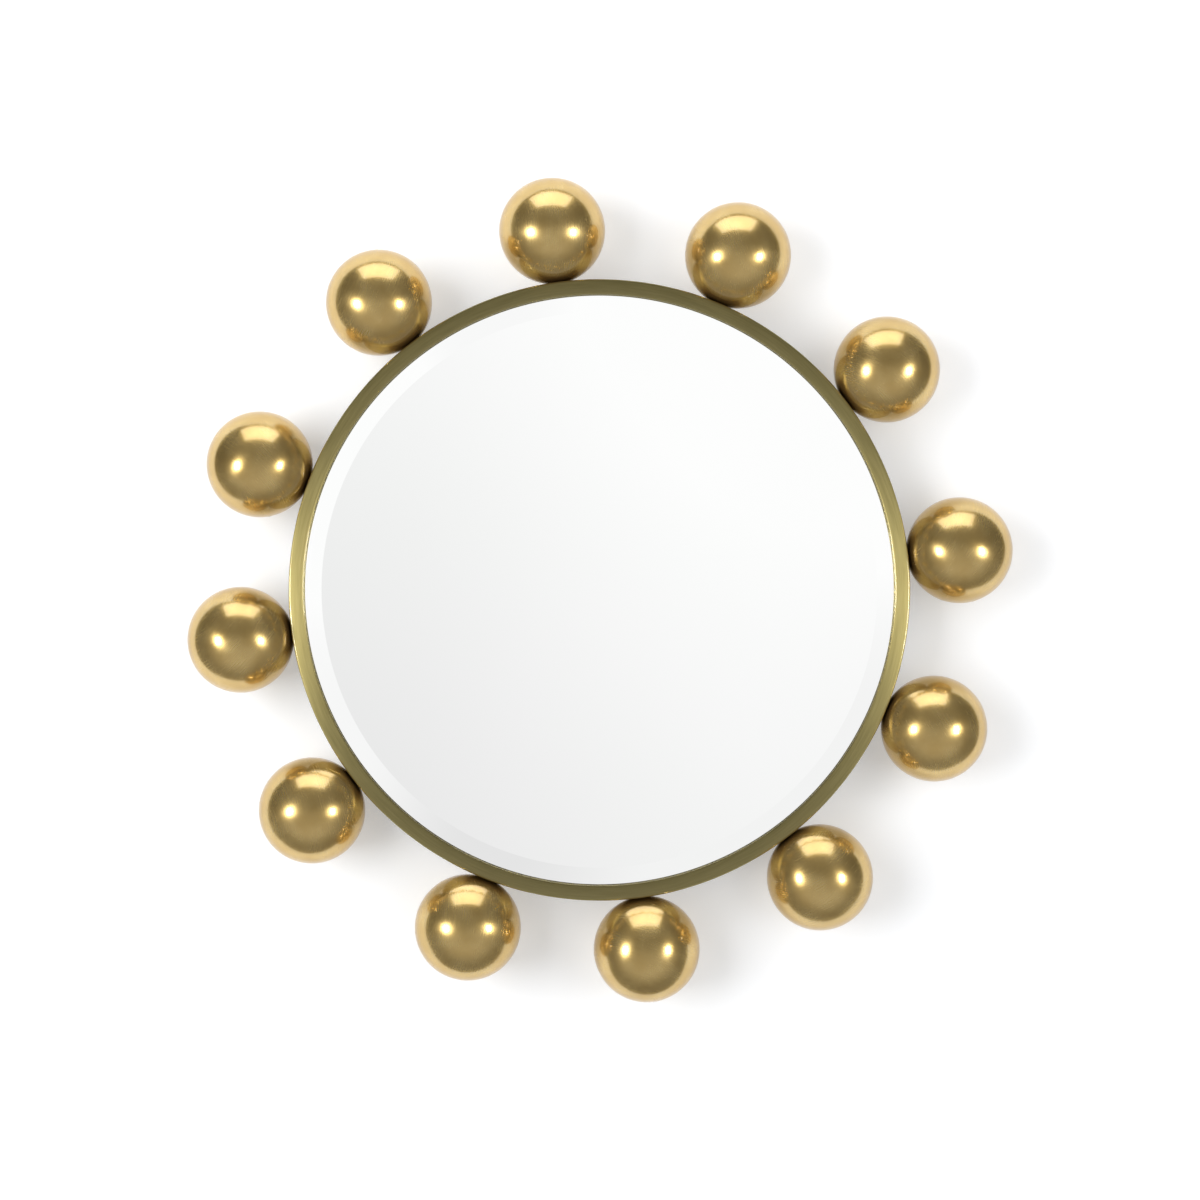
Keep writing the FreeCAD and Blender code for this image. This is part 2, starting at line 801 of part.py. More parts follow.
def make_mirror_rail():
    """The Z rail on the upper batten: its hook points down, close to the wall."""
    body = new_body("mirror_rail")
    section = new_sketch(body, "MirrorRailSection", "YZ_Plane")
    leg_back = "batten_back + rail_thickness"
    hook_back = "mirror_hook_front + rail_thickness"
    draw_outline(
        section,
        [
            ("batten_back", "seat_height"),
            ("mirror_hook_front", "seat_height"),
            ("mirror_hook_front", "seat_height - hook_length"),
            (hook_back, "seat_height - hook_length"),
            (hook_back, "seat_height + rail_thickness"),
            (leg_back, "seat_height + rail_thickness"),
            (leg_back, "seat_height + rail_leg"),
            ("batten_back", "seat_height + rail_leg"),
        ],
    )
    pad_both_ways(body, section, "mirror_rail_length")
    soften_tip(body, "mirror_hook_front", "seat_height - hook_length")
    first = -(RAIL_SCREWS - 1) / 2
    hole = drill(
        body,
        "MirrorRailHole",
        "rail_screw_diameter / 2 + stud_hole_clearance",
        "rail_depth",
        POINTING_BACK,
        f"{first} * rail_screw_pitch",
        "batten_back - rail_thickness",
        "mirror_hole_height",
    )
    repeat_in_row(body, hole, RAIL_SCREWS, "rail_screw_pitch")
    return body


def make_wall_rail():
    """The Z rail that is screwed to the wall: its hook points up, a slot's width from the wall."""
    body = new_body("wall_rail")
    section = new_sketch(body, "WallRailSection", "YZ_Plane")
    leg_front = "wall_plane - rail_thickness"
    hook_front = "wall_hook_back - rail_thickness"
    draw_outline(
        section,
        [
            ("wall_plane", "slot_floor"),
            ("wall_hook_back", "slot_floor"),
            ("wall_hook_back", "seat_height"),
            (hook_front, "seat_height"),
            (hook_front, "slot_floor - rail_thickness"),
            (leg_front, "slot_floor - rail_thickness"),
            (leg_front, "slot_floor - rail_leg"),
            ("wall_plane", "slot_floor - rail_leg"),
        ],
    )
    pad_both_ways(body, section, "wall_rail_length")
    soften_tip(body, hook_front, "seat_height")
    first = -(WALL_HOLES - 1) / 2
    hole = drill(
        body,
        "WallHole",
        "wall_hole_diameter / 2",
        "rail_depth",
        POINTING_BACK,
        f"{first} * wall_hole_pitch",
        "wall_plane - rail_depth",
        "wall_hole_height",
    )
    repeat_in_row(body, hole, WALL_HOLES, "wall_hole_pitch")
    return body


def make_rail_screws():
    pattern = screw("RailScrew", "rail_screw_diameter", "rail_screw_length", "rail_screw_head")
    first = -(RAIL_SCREWS - 1) / 2

    def at(n):
        x = f"{first + n} * rail_screw_pitch"
        return lambda thing: place(
            thing, x, "batten_back + rail_thickness", "mirror_hole_height", POINTING_BACK
        )

    return copies("rail_screws", pattern, [at(n) for n in range(RAIL_SCREWS)])


def make_bumper(name, side):
    """A rubber foot that keeps the mirror's lower edge plumb: a tapered disc with a screw recess."""
    body = new_body(name)
    half = new_sketch(body, name + "Half", "XZ_Plane")
    rim = "bumper_diameter / 2"
    recess = "bumper_screw_head / 2 + stud_hole_clearance"
    bore = "bumper_screw_diameter / 2 + stud_hole_clearance"
    recess_floor = "rail_depth - bumper_recess_depth"
    draw_outline(
        half,
        [
            (bore, "0"),
            (rim, "0"),
            (f"{rim} - bumper_taper", "rail_depth"),
            (recess, "rail_depth"),
            (recess, recess_floor),
            (bore, recess_floor),
        ],
    )
    revolve(body, half)
    place(body, f"{side} * bumper_place", "batten_back", "-batten_offset", POINTING_BACK)
    return body


def make_bumper_screws():
    pattern = screw("BumperScrew", "bumper_screw_diameter", "bumper_screw_length", "bumper_screw_head")
    floor = "wall_plane - bumper_recess_depth"

    def at(side):
        return lambda thing: place(thing, f"{side} * bumper_place", floor, "-batten_offset", POINTING_BACK)

    return copies("bumper_screws", pattern, [at(-1), at(1)])


# ---- the whole mirror

nodes = [make_hoop(), make_gasket(), make_glass(), make_mastic(), make_board()]
nodes += [make_ball(number) for number in range(1, BALLS + 1)]
nodes += make_ball_fasteners()
nodes += [make_tab(number) for number in range(1, TABS + 1)]
nodes += [make_tab_screws(), make_upper_batten(), make_lower_batten(), make_batten_screws()]
nodes += [make_mirror_rail(), make_rail_screws(), make_wall_rail()]
nodes += [make_bumper("left_bumper", -1), make_bumper("right_bumper", 1), make_bumper_screws()]
doc.recompute()

for thing in doc.Objects:
    if "Invalid" in thing.State or "Error" in thing.State:
        raise RuntimeError(f"{thing.Label} failed: {thing.State}")

os.makedirs("parts", exist_ok=True)
for node in nodes:
    shape = node.Shape
    if shape.isNull() or not shape.isValid() or not shape.Solids:
        raise RuntimeError(f"{node.Label} has no valid shape")
    shape.exportStep(f"parts/{node.Label}.step")
    box = shape.BoundBox
    print(
        f"{node.Label:18s} solids {len(shape.Solids):3d}  volume {shape.Volume / 1000:9.2f} cm3"
        f"  y {box.YMin:7.2f} to {box.YMax:7.2f}"
    )
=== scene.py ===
# %% [markdown]
# A round wall mirror in a brass hoop with twelve brass balls. It is taken to have a bevelled plate of
# silvered glass, a hoop turned in over its edge, and hollow balls bolted on round it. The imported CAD
# model fixes every size and place. This lesson dresses it: what shows is made again with smooth
# surfaces, and every piece gets a finish made of nodes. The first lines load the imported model.

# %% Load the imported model
import math

import bmesh
import bpy
from mathutils import Matrix, Vector


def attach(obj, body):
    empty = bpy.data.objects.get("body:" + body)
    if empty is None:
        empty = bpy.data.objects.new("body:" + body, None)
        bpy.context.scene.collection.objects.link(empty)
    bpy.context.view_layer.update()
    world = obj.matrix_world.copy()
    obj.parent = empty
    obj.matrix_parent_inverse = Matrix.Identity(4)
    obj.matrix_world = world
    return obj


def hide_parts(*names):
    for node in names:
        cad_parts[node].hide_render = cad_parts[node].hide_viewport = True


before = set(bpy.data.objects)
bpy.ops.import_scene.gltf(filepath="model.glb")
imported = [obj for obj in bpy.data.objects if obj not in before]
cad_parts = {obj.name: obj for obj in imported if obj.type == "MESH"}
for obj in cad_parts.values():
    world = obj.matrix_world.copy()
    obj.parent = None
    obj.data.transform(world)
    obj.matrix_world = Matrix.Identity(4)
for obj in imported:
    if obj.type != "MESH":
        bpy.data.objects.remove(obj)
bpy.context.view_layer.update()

# %% [markdown]
# Blender works in metres and the drawing in millimetres, so one constant turns one into the other.
# The mirror hangs on a wall behind it: X runs to the right, Z up, and Y from the camera to the wall.
# A clock angle starts at the top and runs clockwise as the camera sees it.

# %% Sizes from the drawing
MM = 0.001
WALL_Y = 54 * MM
HOOP_OUTSIDE = 302 * MM
HOOP_INSIDE = 299 * MM
HOOP_BACK_Y = 19 * MM
LIP_RADIUS = 287 * MM
LIP_FRONT_Y = -19 * MM
LIP_BACK_Y = -16 * MM
CROWN = 0.5 * MM
BALL_RADIUS = 52 * MM
BALL_SEAT = 6 * MM
BALL_CIRCLE = HOOP_OUTSIDE + math.sqrt(BALL_RADIUS ** 2 - BALL_SEAT ** 2)
BALL_ANGLES = [-7.5 + 30 * turn for turn in range(12)]
BALL_ANGLES[3] += 1.2
BALL_ANGLES[7] -= 1.2
BALL_ANGLES[9] -= 0.4
BALL_ANGLES[10] -= 2.2


def on_clock(angle, radius, y=0.0):
    """The point at a clock angle in degrees, a radius and a depth."""
    turn = math.radians(angle)
    return Vector((radius * math.sin(turn), y, radius * math.cos(turn)))


print("balls' centres on a circle of radius", round(BALL_CIRCLE / MM, 2), "mm")

# %% [markdown]
# Three small helpers are used all through. One turns a colour as a picture editor writes it into the
# linear numbers that shaders work in. One adds a node with its settings and links. One starts a
# finish: a material with its main shader, and the coordinates that its patterns read.

# %% Helpers for colours and nodes
def colour(hex_value):
    """The linear colour of an sRGB hex value such as E6CB8E."""
    parts = [int(hex_value[at:at + 2], 16) / 255 for at in (0, 2, 4)]
    linear = [part / 12.92 if part <= 0.04045 else ((part + 0.055) / 1.055) ** 2.4 for part in parts]
    return (*linear, 1.0)


def add_node(tree, kind, inputs=None, **settings):
    """A new node. Settings are its own properties; inputs are values, or the sockets that feed it."""
    node = tree.nodes.new(kind)
    for name, value in settings.items():
        setattr(node, name, value)
    for name, value in (inputs or {}).items():
        if isinstance(value, bpy.types.NodeSocket):
            tree.links.new(value, node.inputs[name])
        else:
            node.inputs[name].default_value = value
    return node


def start_finish(name, **constants):
    """A material with one Principled shader, and the socket of the object's own coordinates."""
    finish = bpy.data.materials.new(name)
    finish.use_nodes = True
    tree = finish.node_tree
    tree.nodes.clear()
    names = {key.replace("_", " "): value for key, value in constants.items()}
    shader = add_node(tree, "ShaderNodeBsdfPrincipled", names)
    add_node(tree, "ShaderNodeOutputMaterial", {"Surface": shader.outputs["BSDF"]})
    place = add_node(tree, "ShaderNodeTexCoord").outputs["Object"]
    return finish, tree, shader, place


# %% [markdown]
# The camera looks square on from 3.3 metres. The photo doesn't give that distance, and it is assumed.
# The lens follows from the width that the frame covers at the balls' centres. The camera stands 10 mm
# below the mirror's axis, and so the mirror sits a little above the middle.

# %% Camera
CAMERA_DISTANCE = 3.3
FRAME_WIDTH = 1.1719
SENSOR = 36.0
CAMERA_RIGHT, CAMERA_DOWN = 0.6 * MM, 9.8 * MM
camera_data = bpy.data.cameras.new("camera")
camera_data.sensor_width = SENSOR
camera_data.lens = SENSOR * CAMERA_DISTANCE / FRAME_WIDTH
camera = bpy.data.objects.new("camera", camera_data)
camera.location = (CAMERA_RIGHT, -CAMERA_DISTANCE, -CAMERA_DOWN)
camera.rotation_euler = (math.radians(90), 0, 0)
bpy.context.scene.collection.objects.link(camera)
bpy.context.scene.camera = camera
bpy.context.scene.view_settings.view_transform = "Standard"
print("lens:", round(camera_data.lens, 1), "mm")

# %% [markdown]
# The light is that of a product studio: an upright soft box on each side and one overhead. Each soft
# box is an area lamp, which metal shows as a soft rectangle. A lamp's power is worked out from how
# bright its face should look and its area, so that a box can change size and keep its brightness.
# The small boxes show as crisp rectangles in the brass and would leave hard shadows on the wall. So the
# wall has two broad boxes of its own, and each lamp is told which pieces it lights. The boxes' sizes,
# places and brightness were chosen by trial to come near the photo.

# %% Lamps
def soft_box(name, place, aim, width, height, brightness):
    """An area lamp at place that faces aim, as bright on its face as the brightness says."""
    data = bpy.data.lights.new(name, "AREA")
    data.shape = "RECTANGLE"
    data.size, data.size_y = width, height
    data.energy = brightness * math.pi * width * height
    lamp = bpy.data.objects.new(name, data)
    lamp.location = place
    lamp.rotation_euler = (Vector(aim) - Vector(place)).to_track_quat("-Z", "Y").to_euler()
    bpy.context.scene.collection.objects.link(lamp)
    print(name, "power", round(data.energy, 1))
    return lamp


LEFT, RIGHT, LEVEL = (-3.2, -3.0, -0.2), (3.2, -3.0, -0.2), (0, 0, -0.2)
SMALL_BOX, WALL_BOX, OVERHEAD_BOX = (0.7, 0.9), (2.8, 2.8), (3.6, 2.1)
small_boxes = [soft_box("box_left", LEFT, LEVEL, *SMALL_BOX, 40),
               soft_box("box_right", RIGHT, LEVEL, *SMALL_BOX, 31)]
wall_boxes = [soft_box("wall_left", (-2.4, -2.4, 0.3), (0, 0, 0), *WALL_BOX, 4.9),
              soft_box("wall_right", (2.4, -2.4, 0.3), (0, 0, 0), *WALL_BOX, 2.2)]
overhead = soft_box("box_overhead", (-0.15, -1.15, 3.0), (-0.15, -1.15, 0), *OVERHEAD_BOX, 2.1)


def light_only(lamps, name, *pieces, leave_out=False):
    """Limits lamps to some pieces, or leaves those pieces out, as a flag in the beam does."""
    group = bpy.data.collections.new(name)
    for piece in pieces:
        group.objects.link(piece)
    for member in group.collection_objects:
        member.light_linking.link_state = "EXCLUDE" if leave_out else "INCLUDE"
    for lamp in lamps:
        lamp.light_linking.receiver_collection = group
    print(name, [piece.name for piece in pieces], "left out" if leave_out else "only")


# %% [markdown]
# Round the lamps the room is dim, with a paler floor, and satin metal shows that as its darker tones.
# A camera ray that passes the object meets plain white. A ray off the glass meets near-white, with a
# slight slope, only towards the camera's end of the room. Satin metal doesn't see that white end. The
# greys and slopes were chosen by trial to come near the photo.

# %% World
ROOM_GREYS = [(0.15, 0.34), (0.44, 0.23), (0.50, 0.19), (0.56, 0.13),
              (0.66, 0.085), (0.80, 0.11), (0.92, 0.16)]
world = bpy.data.worlds.new("room")
bpy.context.scene.world = world
world.use_nodes = True
room = world.node_tree
room.nodes.clear()
direction = add_node(room, "ShaderNodeSeparateXYZ", {
    "Vector": add_node(room, "ShaderNodeTexCoord").outputs["Generated"]})
height_ramp = add_node(room, "ShaderNodeValToRGB", {
    "Fac": add_node(room, "ShaderNodeMapRange", {
        "Value": direction.outputs["Z"], "From Min": -1.0, "From Max": 1.0}).outputs["Result"]})
ramp = height_ramp.color_ramp
for at, (height, grey) in enumerate(ROOM_GREYS):
    stop = ramp.elements[at] if at < 2 else ramp.elements.new(height)
    stop.position, stop.color = height, (grey, grey, grey, 1)
sides = add_node(room, "ShaderNodeMapRange", {
    "Value": direction.outputs["Y"], "From Min": -0.75, "From Max": -0.1, "To Min": 1.55, "To Max": 0.6},
    interpolation_type="SMOOTHSTEP")
behind_wall = add_node(room, "ShaderNodeMapRange", {
    "Value": direction.outputs["Y"], "From Min": 0.35, "From Max": 0.8, "To Min": 0.0, "To Max": 1.6})
both_ends = add_node(room, "ShaderNodeMath", {0: sides.outputs["Result"], 1: behind_wall.outputs["Result"]})
dim_room = add_node(room, "ShaderNodeBackground", {
    "Color": height_ramp.outputs["Color"], "Strength": both_ends.outputs[0]})

rise = add_node(room, "ShaderNodeMapRange", {
    "Value": direction.outputs["Z"], "From Min": -0.12, "From Max": 0.14, "To Min": 0.79, "To Max": 0.95},
    interpolation_type="SMOOTHSTEP")
lean = add_node(room, "ShaderNodeMapRange", {
    "Value": direction.outputs["X"], "From Min": -0.09, "From Max": 0.06, "To Min": 0.0, "To Max": 0.12},
    interpolation_type="SMOOTHSTEP")
left_edge = add_node(room, "ShaderNodeMapRange", {
    "Value": direction.outputs["X"], "From Min": -0.13, "From Max": -0.24, "To Min": 0.0, "To Max": 0.15},
    interpolation_type="SMOOTHSTEP")
sloped = add_node(room, "ShaderNodeMath", {
    0: rise.outputs["Result"], 1: lean.outputs["Result"]}, operation="ADD")
sloped = add_node(room, "ShaderNodeMath", {
    0: sloped.outputs[0], 1: left_edge.outputs["Result"]}, operation="ADD", use_clamp=True)
seen_in_glass = add_node(room, "ShaderNodeBackground", {"Color": (1, 1, 1, 1), "Strength": sloped.outputs[0]})
white = add_node(room, "ShaderNodeBackground", {"Color": (1, 1, 1, 1)})
path = add_node(room, "ShaderNodeLightPath")
white_end = add_node(room, "ShaderNodeMapRange", {
    "Value": direction.outputs["Y"], "From Min": -0.93, "From Max": -0.80, "To Min": 1.0, "To Max": 0.0})
mirrored = add_node(room, "ShaderNodeMath", {
    0: white_end.outputs["Result"], 1: path.outputs["Is Singular Ray"]}, operation="MULTIPLY")
off_mirror = add_node(room, "ShaderNodeMixShader", {
    0: mirrored.outputs[0], 1: dim_room.outputs[0], 2: seen_in_glass.outputs[0]})
for_camera = add_node(room, "ShaderNodeMixShader", {
    0: path.outputs["Is Camera Ray"], 1: off_mirror.outputs[0], 2: white.outputs[0]})
add_node(room, "ShaderNodeOutputWorld", {"Surface": for_camera.outputs[0]})

# %% [markdown]
# The wall is a matte white panel behind the mirror, and it keeps the mirror's soft shadows. It has a
# low light of its own, so that it reads as white where the lamps reach it. Seen from behind it lets
# the view through, and that leaves the back of the mirror open to look at.

# %% Wall
wall_mesh = bpy.data.meshes.new("wall")
PANEL_SIDE, PANEL_TOP = 0.63, 1.2
WALL_TONE, WALL_GLOW = (0.735, 0.75, 0.775, 1), 0.34
PANEL = [(-PANEL_SIDE, -PANEL_SIDE), (PANEL_SIDE, -PANEL_SIDE),
         (PANEL_SIDE, PANEL_TOP), (-PANEL_SIDE, PANEL_TOP)]
wall_mesh.from_pydata([(x, WALL_Y, z) for x, z in PANEL], [], [(0, 1, 2, 3)])
wall = bpy.data.objects.new("wall", wall_mesh)
bpy.context.scene.collection.objects.link(wall)
wall_paint = bpy.data.materials.new("white_wall_paint")
wall_paint.use_nodes = True
paint = wall_paint.node_tree
paint.nodes.clear()
matte = add_node(paint, "ShaderNodeBsdfDiffuse", {"Color": WALL_TONE})
glow = add_node(paint, "ShaderNodeEmission", {"Strength": WALL_GLOW})
lit = add_node(paint, "ShaderNodeAddShader", {0: matte.outputs[0], 1: glow.outputs[0]})
behind = add_node(paint, "ShaderNodeNewGeometry").outputs["Backfacing"]
through = add_node(paint, "ShaderNodeMixShader", {
    0: behind, 1: lit.outputs[0], 2: add_node(paint, "ShaderNodeBsdfTransparent").outputs[0]})
add_node(paint, "ShaderNodeOutputMaterial", {"Surface": through.outputs[0]})
wall_mesh.materials.append(wall_paint)

# %% [markdown]
# The balls are taken as hollow brass, polished to a satin face and lacquered. Each is given hairlines
# round an axis of its own, which stretch every reflection across them, and the clear lacquer adds a
# small sharp shine over the soft one. Hairlines this fine would not show, so they are drawn coarser
# than real ones. The photo shows each ball dark brown where it meets the hoop. A brown tone was chosen
# to match it and is painted into the colour there: painted shade where ball and hoop meet. The cause
# isn't known, and a brown tone was chosen there to match it.

# %% Finish: satin brass of the balls
HAIRLINE = 0.6 * MM
CLOUDS_PER_METRE = 45.0
# Painted shade: how far out from the seat the brown starts, and its greatest share.
SEAT_SHADE_FROM, SEAT_SHADE_MOST = 0.76, 0.92
ball_brass, tree, shader, place = start_finish(
    "satin_brass", Metallic=0.8, Anisotropic=0.3, Anisotropic_Rotation=0.25,
    Coat_Weight=1.0, Coat_Roughness=0.05, Specular_Tint=colour("C4AC80"))
centre = add_node(tree, "ShaderNodeAttribute", attribute_name="ball_centre").outputs["Vector"]
axis = add_node(tree, "ShaderNodeAttribute", attribute_name="polish_axis").outputs["Vector"]
normal = add_node(tree, "ShaderNodeNewGeometry").outputs["Normal"]
round_axis = add_node(tree, "ShaderNodeVectorMath", {0: axis, 1: normal}, operation="CROSS_PRODUCT")
offset = add_node(tree, "ShaderNodeVectorMath", {0: place, 1: centre}, operation="SUBTRACT").outputs[0]
along = add_node(tree, "ShaderNodeVectorMath", {0: offset, 1: axis}, operation="DOT_PRODUCT")
along = add_node(tree, "ShaderNodeMath", {0: along.outputs["Value"], 1: 1 / HAIRLINE}, operation="MULTIPLY")
stretched = add_node(tree, "ShaderNodeVectorMath", {0: offset, "Scale": 0.04 / HAIRLINE}, operation="SCALE")
hairlines = add_node(tree, "ShaderNodeTexNoise", {
    "Vector": stretched.outputs[0], "W": along.outputs[0], "Scale": 1.0, "Detail": 2.0},
    noise_dimensions="4D")
clouds = add_node(tree, "ShaderNodeTexNoise", {"Vector": place, "Scale": CLOUDS_PER_METRE, "Detail": 3.0})
tone = add_node(tree, "ShaderNodeValToRGB", {"Fac": clouds.outputs["Fac"]})
tone.color_ramp.elements[0].position, tone.color_ramp.elements[0].color = 0.35, colour("D0AF69")
tone.color_ramp.elements[1].position, tone.color_ramp.elements[1].color = 0.70, colour("DFC17D")
from_middle = add_node(tree, "ShaderNodeVectorMath", {0: centre}, operation="NORMALIZE").outputs[0]
towards_hoop = add_node(tree, "ShaderNodeVectorMath", {0: offset, 1: from_middle}, operation="DOT_PRODUCT")
near_seat = add_node(tree, "ShaderNodeMapRange", {
    "Value": towards_hoop.outputs["Value"], "From Min": -SEAT_SHADE_FROM * BALL_RADIUS, "From Max": -BALL_RADIUS,
    "To Min": 0.0, "To Max": SEAT_SHADE_MOST})
# Painted shade: the colour turns dark brown nearer the seat, where ball and hoop meet.
seat_painted_shade = add_node(tree, "ShaderNodeMixRGB", {
    "Fac": near_seat.outputs[0], "Color1": tone.outputs["Color"], "Color2": colour("5A2E08")})
mixed = add_node(tree, "ShaderNodeMath", {0: hairlines.outputs["Fac"], 1: clouds.outputs["Fac"]})
shine = add_node(tree, "ShaderNodeMapRange", {
    "Value": mixed.outputs[0], "From Min": 0.7, "From Max": 1.3, "To Min": 0.20, "To Max": 0.29})
relief = add_node(tree, "ShaderNodeBump", {
    "Height": hairlines.outputs["Fac"], "Strength": 0.04, "Distance": 0.01 * MM})
tree.links.new(seat_painted_shade.outputs["Color"], shader.inputs["Base Color"])
tree.links.new(shine.outputs[0], shader.inputs["Roughness"])
tree.links.new(relief.outputs[0], shader.inputs["Normal"])
tree.links.new(round_axis.outputs[0], shader.inputs["Tangent"])

# %% [markdown]
# The photo shows the hoop greener than the balls, and bright at its sides and dark at its top and
# bottom. It is taken as brass brushed along its length: brushing spreads a reflection across the
# grooves only, so the left and right catch the side boxes and the top and bottom face dimmer air.

# %% Finish: brushed brass of the hoop
BRUSH_WIDTH = 1.2 * MM
STROKES_ROUND = 9.0
hoop_brass, tree, shader, place = start_finish(
    "brushed_brass", Metallic=1.0, Anisotropic=0.74, Anisotropic_Rotation=0.25,
    Coat_Weight=1.0, Coat_Roughness=0.1)
tree.links.new(add_node(tree, "ShaderNodeTangent", direction_type="RADIAL", axis="Y").outputs[0],
               shader.inputs["Tangent"])
split = add_node(tree, "ShaderNodeSeparateXYZ", {"Vector": place})
flat = add_node(tree, "ShaderNodeCombineXYZ", {0: split.outputs["X"], 1: split.outputs["Z"]})
radius = add_node(tree, "ShaderNodeVectorMath", {0: flat.outputs[0]}, operation="LENGTH").outputs["Value"]
round_it = add_node(tree, "ShaderNodeVectorMath", {0: flat.outputs[0]}, operation="NORMALIZE").outputs[0]
round_it = add_node(tree, "ShaderNodeVectorMath", {
    0: round_it, "Scale": STROKES_ROUND}, operation="SCALE").outputs[0]
across = add_node(tree, "ShaderNodeMath", {0: radius, 1: split.outputs["Y"]}, operation="SUBTRACT")
across = add_node(tree, "ShaderNodeMath", {0: across.outputs[0], 1: 1 / BRUSH_WIDTH}, operation="MULTIPLY")
brushed = add_node(tree, "ShaderNodeTexNoise", {
    "Vector": round_it, "W": across.outputs[0], "Scale": 1.0, "Detail": 4.0}, noise_dimensions="4D")
tone = add_node(tree, "ShaderNodeValToRGB", {"Fac": brushed.outputs["Fac"]})
tone.color_ramp.elements[0].position, tone.color_ramp.elements[0].color = 0.3, colour("AC9E62")
tone.color_ramp.elements[1].position, tone.color_ramp.elements[1].color = 0.7, colour("BCAE72")
shine = add_node(tree, "ShaderNodeMapRange", {
    "Value": brushed.outputs["Fac"], "From Min": 0.3, "From Max": 0.7, "To Min": 0.42, "To Max": 0.50})
tree.links.new(tone.outputs["Color"], shader.inputs["Base Color"])
tree.links.new(shine.outputs[0], shader.inputs["Roughness"])

# %% [markdown]
# The mirror is float glass silvered at the back. Real silver behind 5 mm of glass gives back about
# nine tenths of the light, with the slightest green. A little more is given back here, so that the
# white end of the room shows as white, as in the photo. Float glass is flat to a hair, and a very
# slow waviness keeps the reflection from looking computed.

# %% Finish: silvered glass
mirror_glass, tree, shader, place = start_finish(
    "silvered_float_glass", Metallic=1.0, Roughness=0.0)
waves = add_node(tree, "ShaderNodeTexNoise", {"Vector": place, "Scale": 3.0, "Detail": 1.0})
tone = add_node(tree, "ShaderNodeValToRGB", {"Fac": waves.outputs["Fac"]})
tone.color_ramp.elements[0].position, tone.color_ramp.elements[0].color = 0.3, colour("FCFDFC")
tone.color_ramp.elements[1].position, tone.color_ramp.elements[1].color = 0.7, colour("FEFEFE")
relief = add_node(tree, "ShaderNodeBump", {
    "Height": waves.outputs["Fac"], "Strength": 0.02, "Distance": 0.5 * MM})
tree.links.new(tone.outputs["Color"], shader.inputs["Base Color"])
tree.links.new(relief.outputs[0], shader.inputs["Normal"])

# %% [markdown]
# The photo doesn't show what is behind the glass. What is built there is a guess at what such a mirror
# needs. It has plainer finishes: rubber, mastic, painted fibreboard, planed
# softwood, extruded aluminium and zinc-plated steel. Each reads the object's own coordinates, with
# its pattern at the real size.

# %% Finishes of the pieces behind
def speckled_finish(name, dark, light, grain, rough, stretch=(1, 1, 1), bump=0.1, **constants):
    """A finish of two close tones and a fine relief, from one noise with a grain of that size."""
    finish, tree, shader, place = start_finish(name, **constants)
    scaled = add_node(tree, "ShaderNodeMapping", {"Vector": place, "Scale": stretch}).outputs[0]
    noise = add_node(tree, "ShaderNodeTexNoise", {"Vector": scaled, "Scale": 1 / grain, "Detail": 4.0})
    tone = add_node(tree, "ShaderNodeValToRGB", {"Fac": noise.outputs["Fac"]})
    tone.color_ramp.elements[0].position, tone.color_ramp.elements[0].color = 0.35, colour(dark)
    tone.color_ramp.elements[1].position, tone.color_ramp.elements[1].color = 0.65, colour(light)
    shine = add_node(tree, "ShaderNodeMapRange", {
        "Value": noise.outputs["Fac"], "To Min": rough - 0.08, "To Max": rough + 0.08})
    relief = add_node(tree, "ShaderNodeBump", {
        "Height": noise.outputs["Fac"], "Strength": bump, "Distance": 0.2 * MM})
    tree.links.new(tone.outputs["Color"], shader.inputs["Base Color"])
    tree.links.new(shine.outputs[0], shader.inputs["Roughness"])
    tree.links.new(relief.outputs[0], shader.inputs["Normal"])
    return finish


gasket_rubber = speckled_finish("epdm_rubber", "0C0C0C", "1A1A19", 1.5 * MM, 0.75)
bumper_rubber = speckled_finish("moulded_rubber", "141414", "242321", 1.2 * MM, 0.68)
backing_paint = speckled_finish("mirror_backing_paint", "5A5C5E", "6A6C6E", 2 * MM, 0.55)
mastic = speckled_finish("mirror_mastic", "D6D3C6", "E6E3D8", 6 * MM, 0.6)
board_paint = speckled_finish("painted_fibreboard", "161514", "262422", 2 * MM, 0.8, bump=0.3)
aluminium = speckled_finish("extruded_aluminium", "A8AAAC", "C8CACC", 0.8 * MM, 0.38,
                            stretch=(0.02, 1, 1), bump=0.06, Metallic=1.0)
zinc_steel = speckled_finish("zinc_plated_steel", "A9ABAE", "C6C8CC", 2 * MM, 0.32, Metallic=1.0)
turned_brass = speckled_finish("turned_brass", "C8A868", "DCC080", 1 * MM, 0.3, Metallic=1.0)
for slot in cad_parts["ball_bushes"].material_slots:
    slot.material = turned_brass
print("finishes:", len(bpy.data.materials))

# %% [markdown]
# Softwood shows the tree's yearly rings. A batten is sawn along the trunk, so its long faces show the
# rings as streaks and its ends show them as arcs round the heart of the tree, which lies beside the
# batten. One pattern does both: the distance from the heart, made to waver slowly along the trunk.

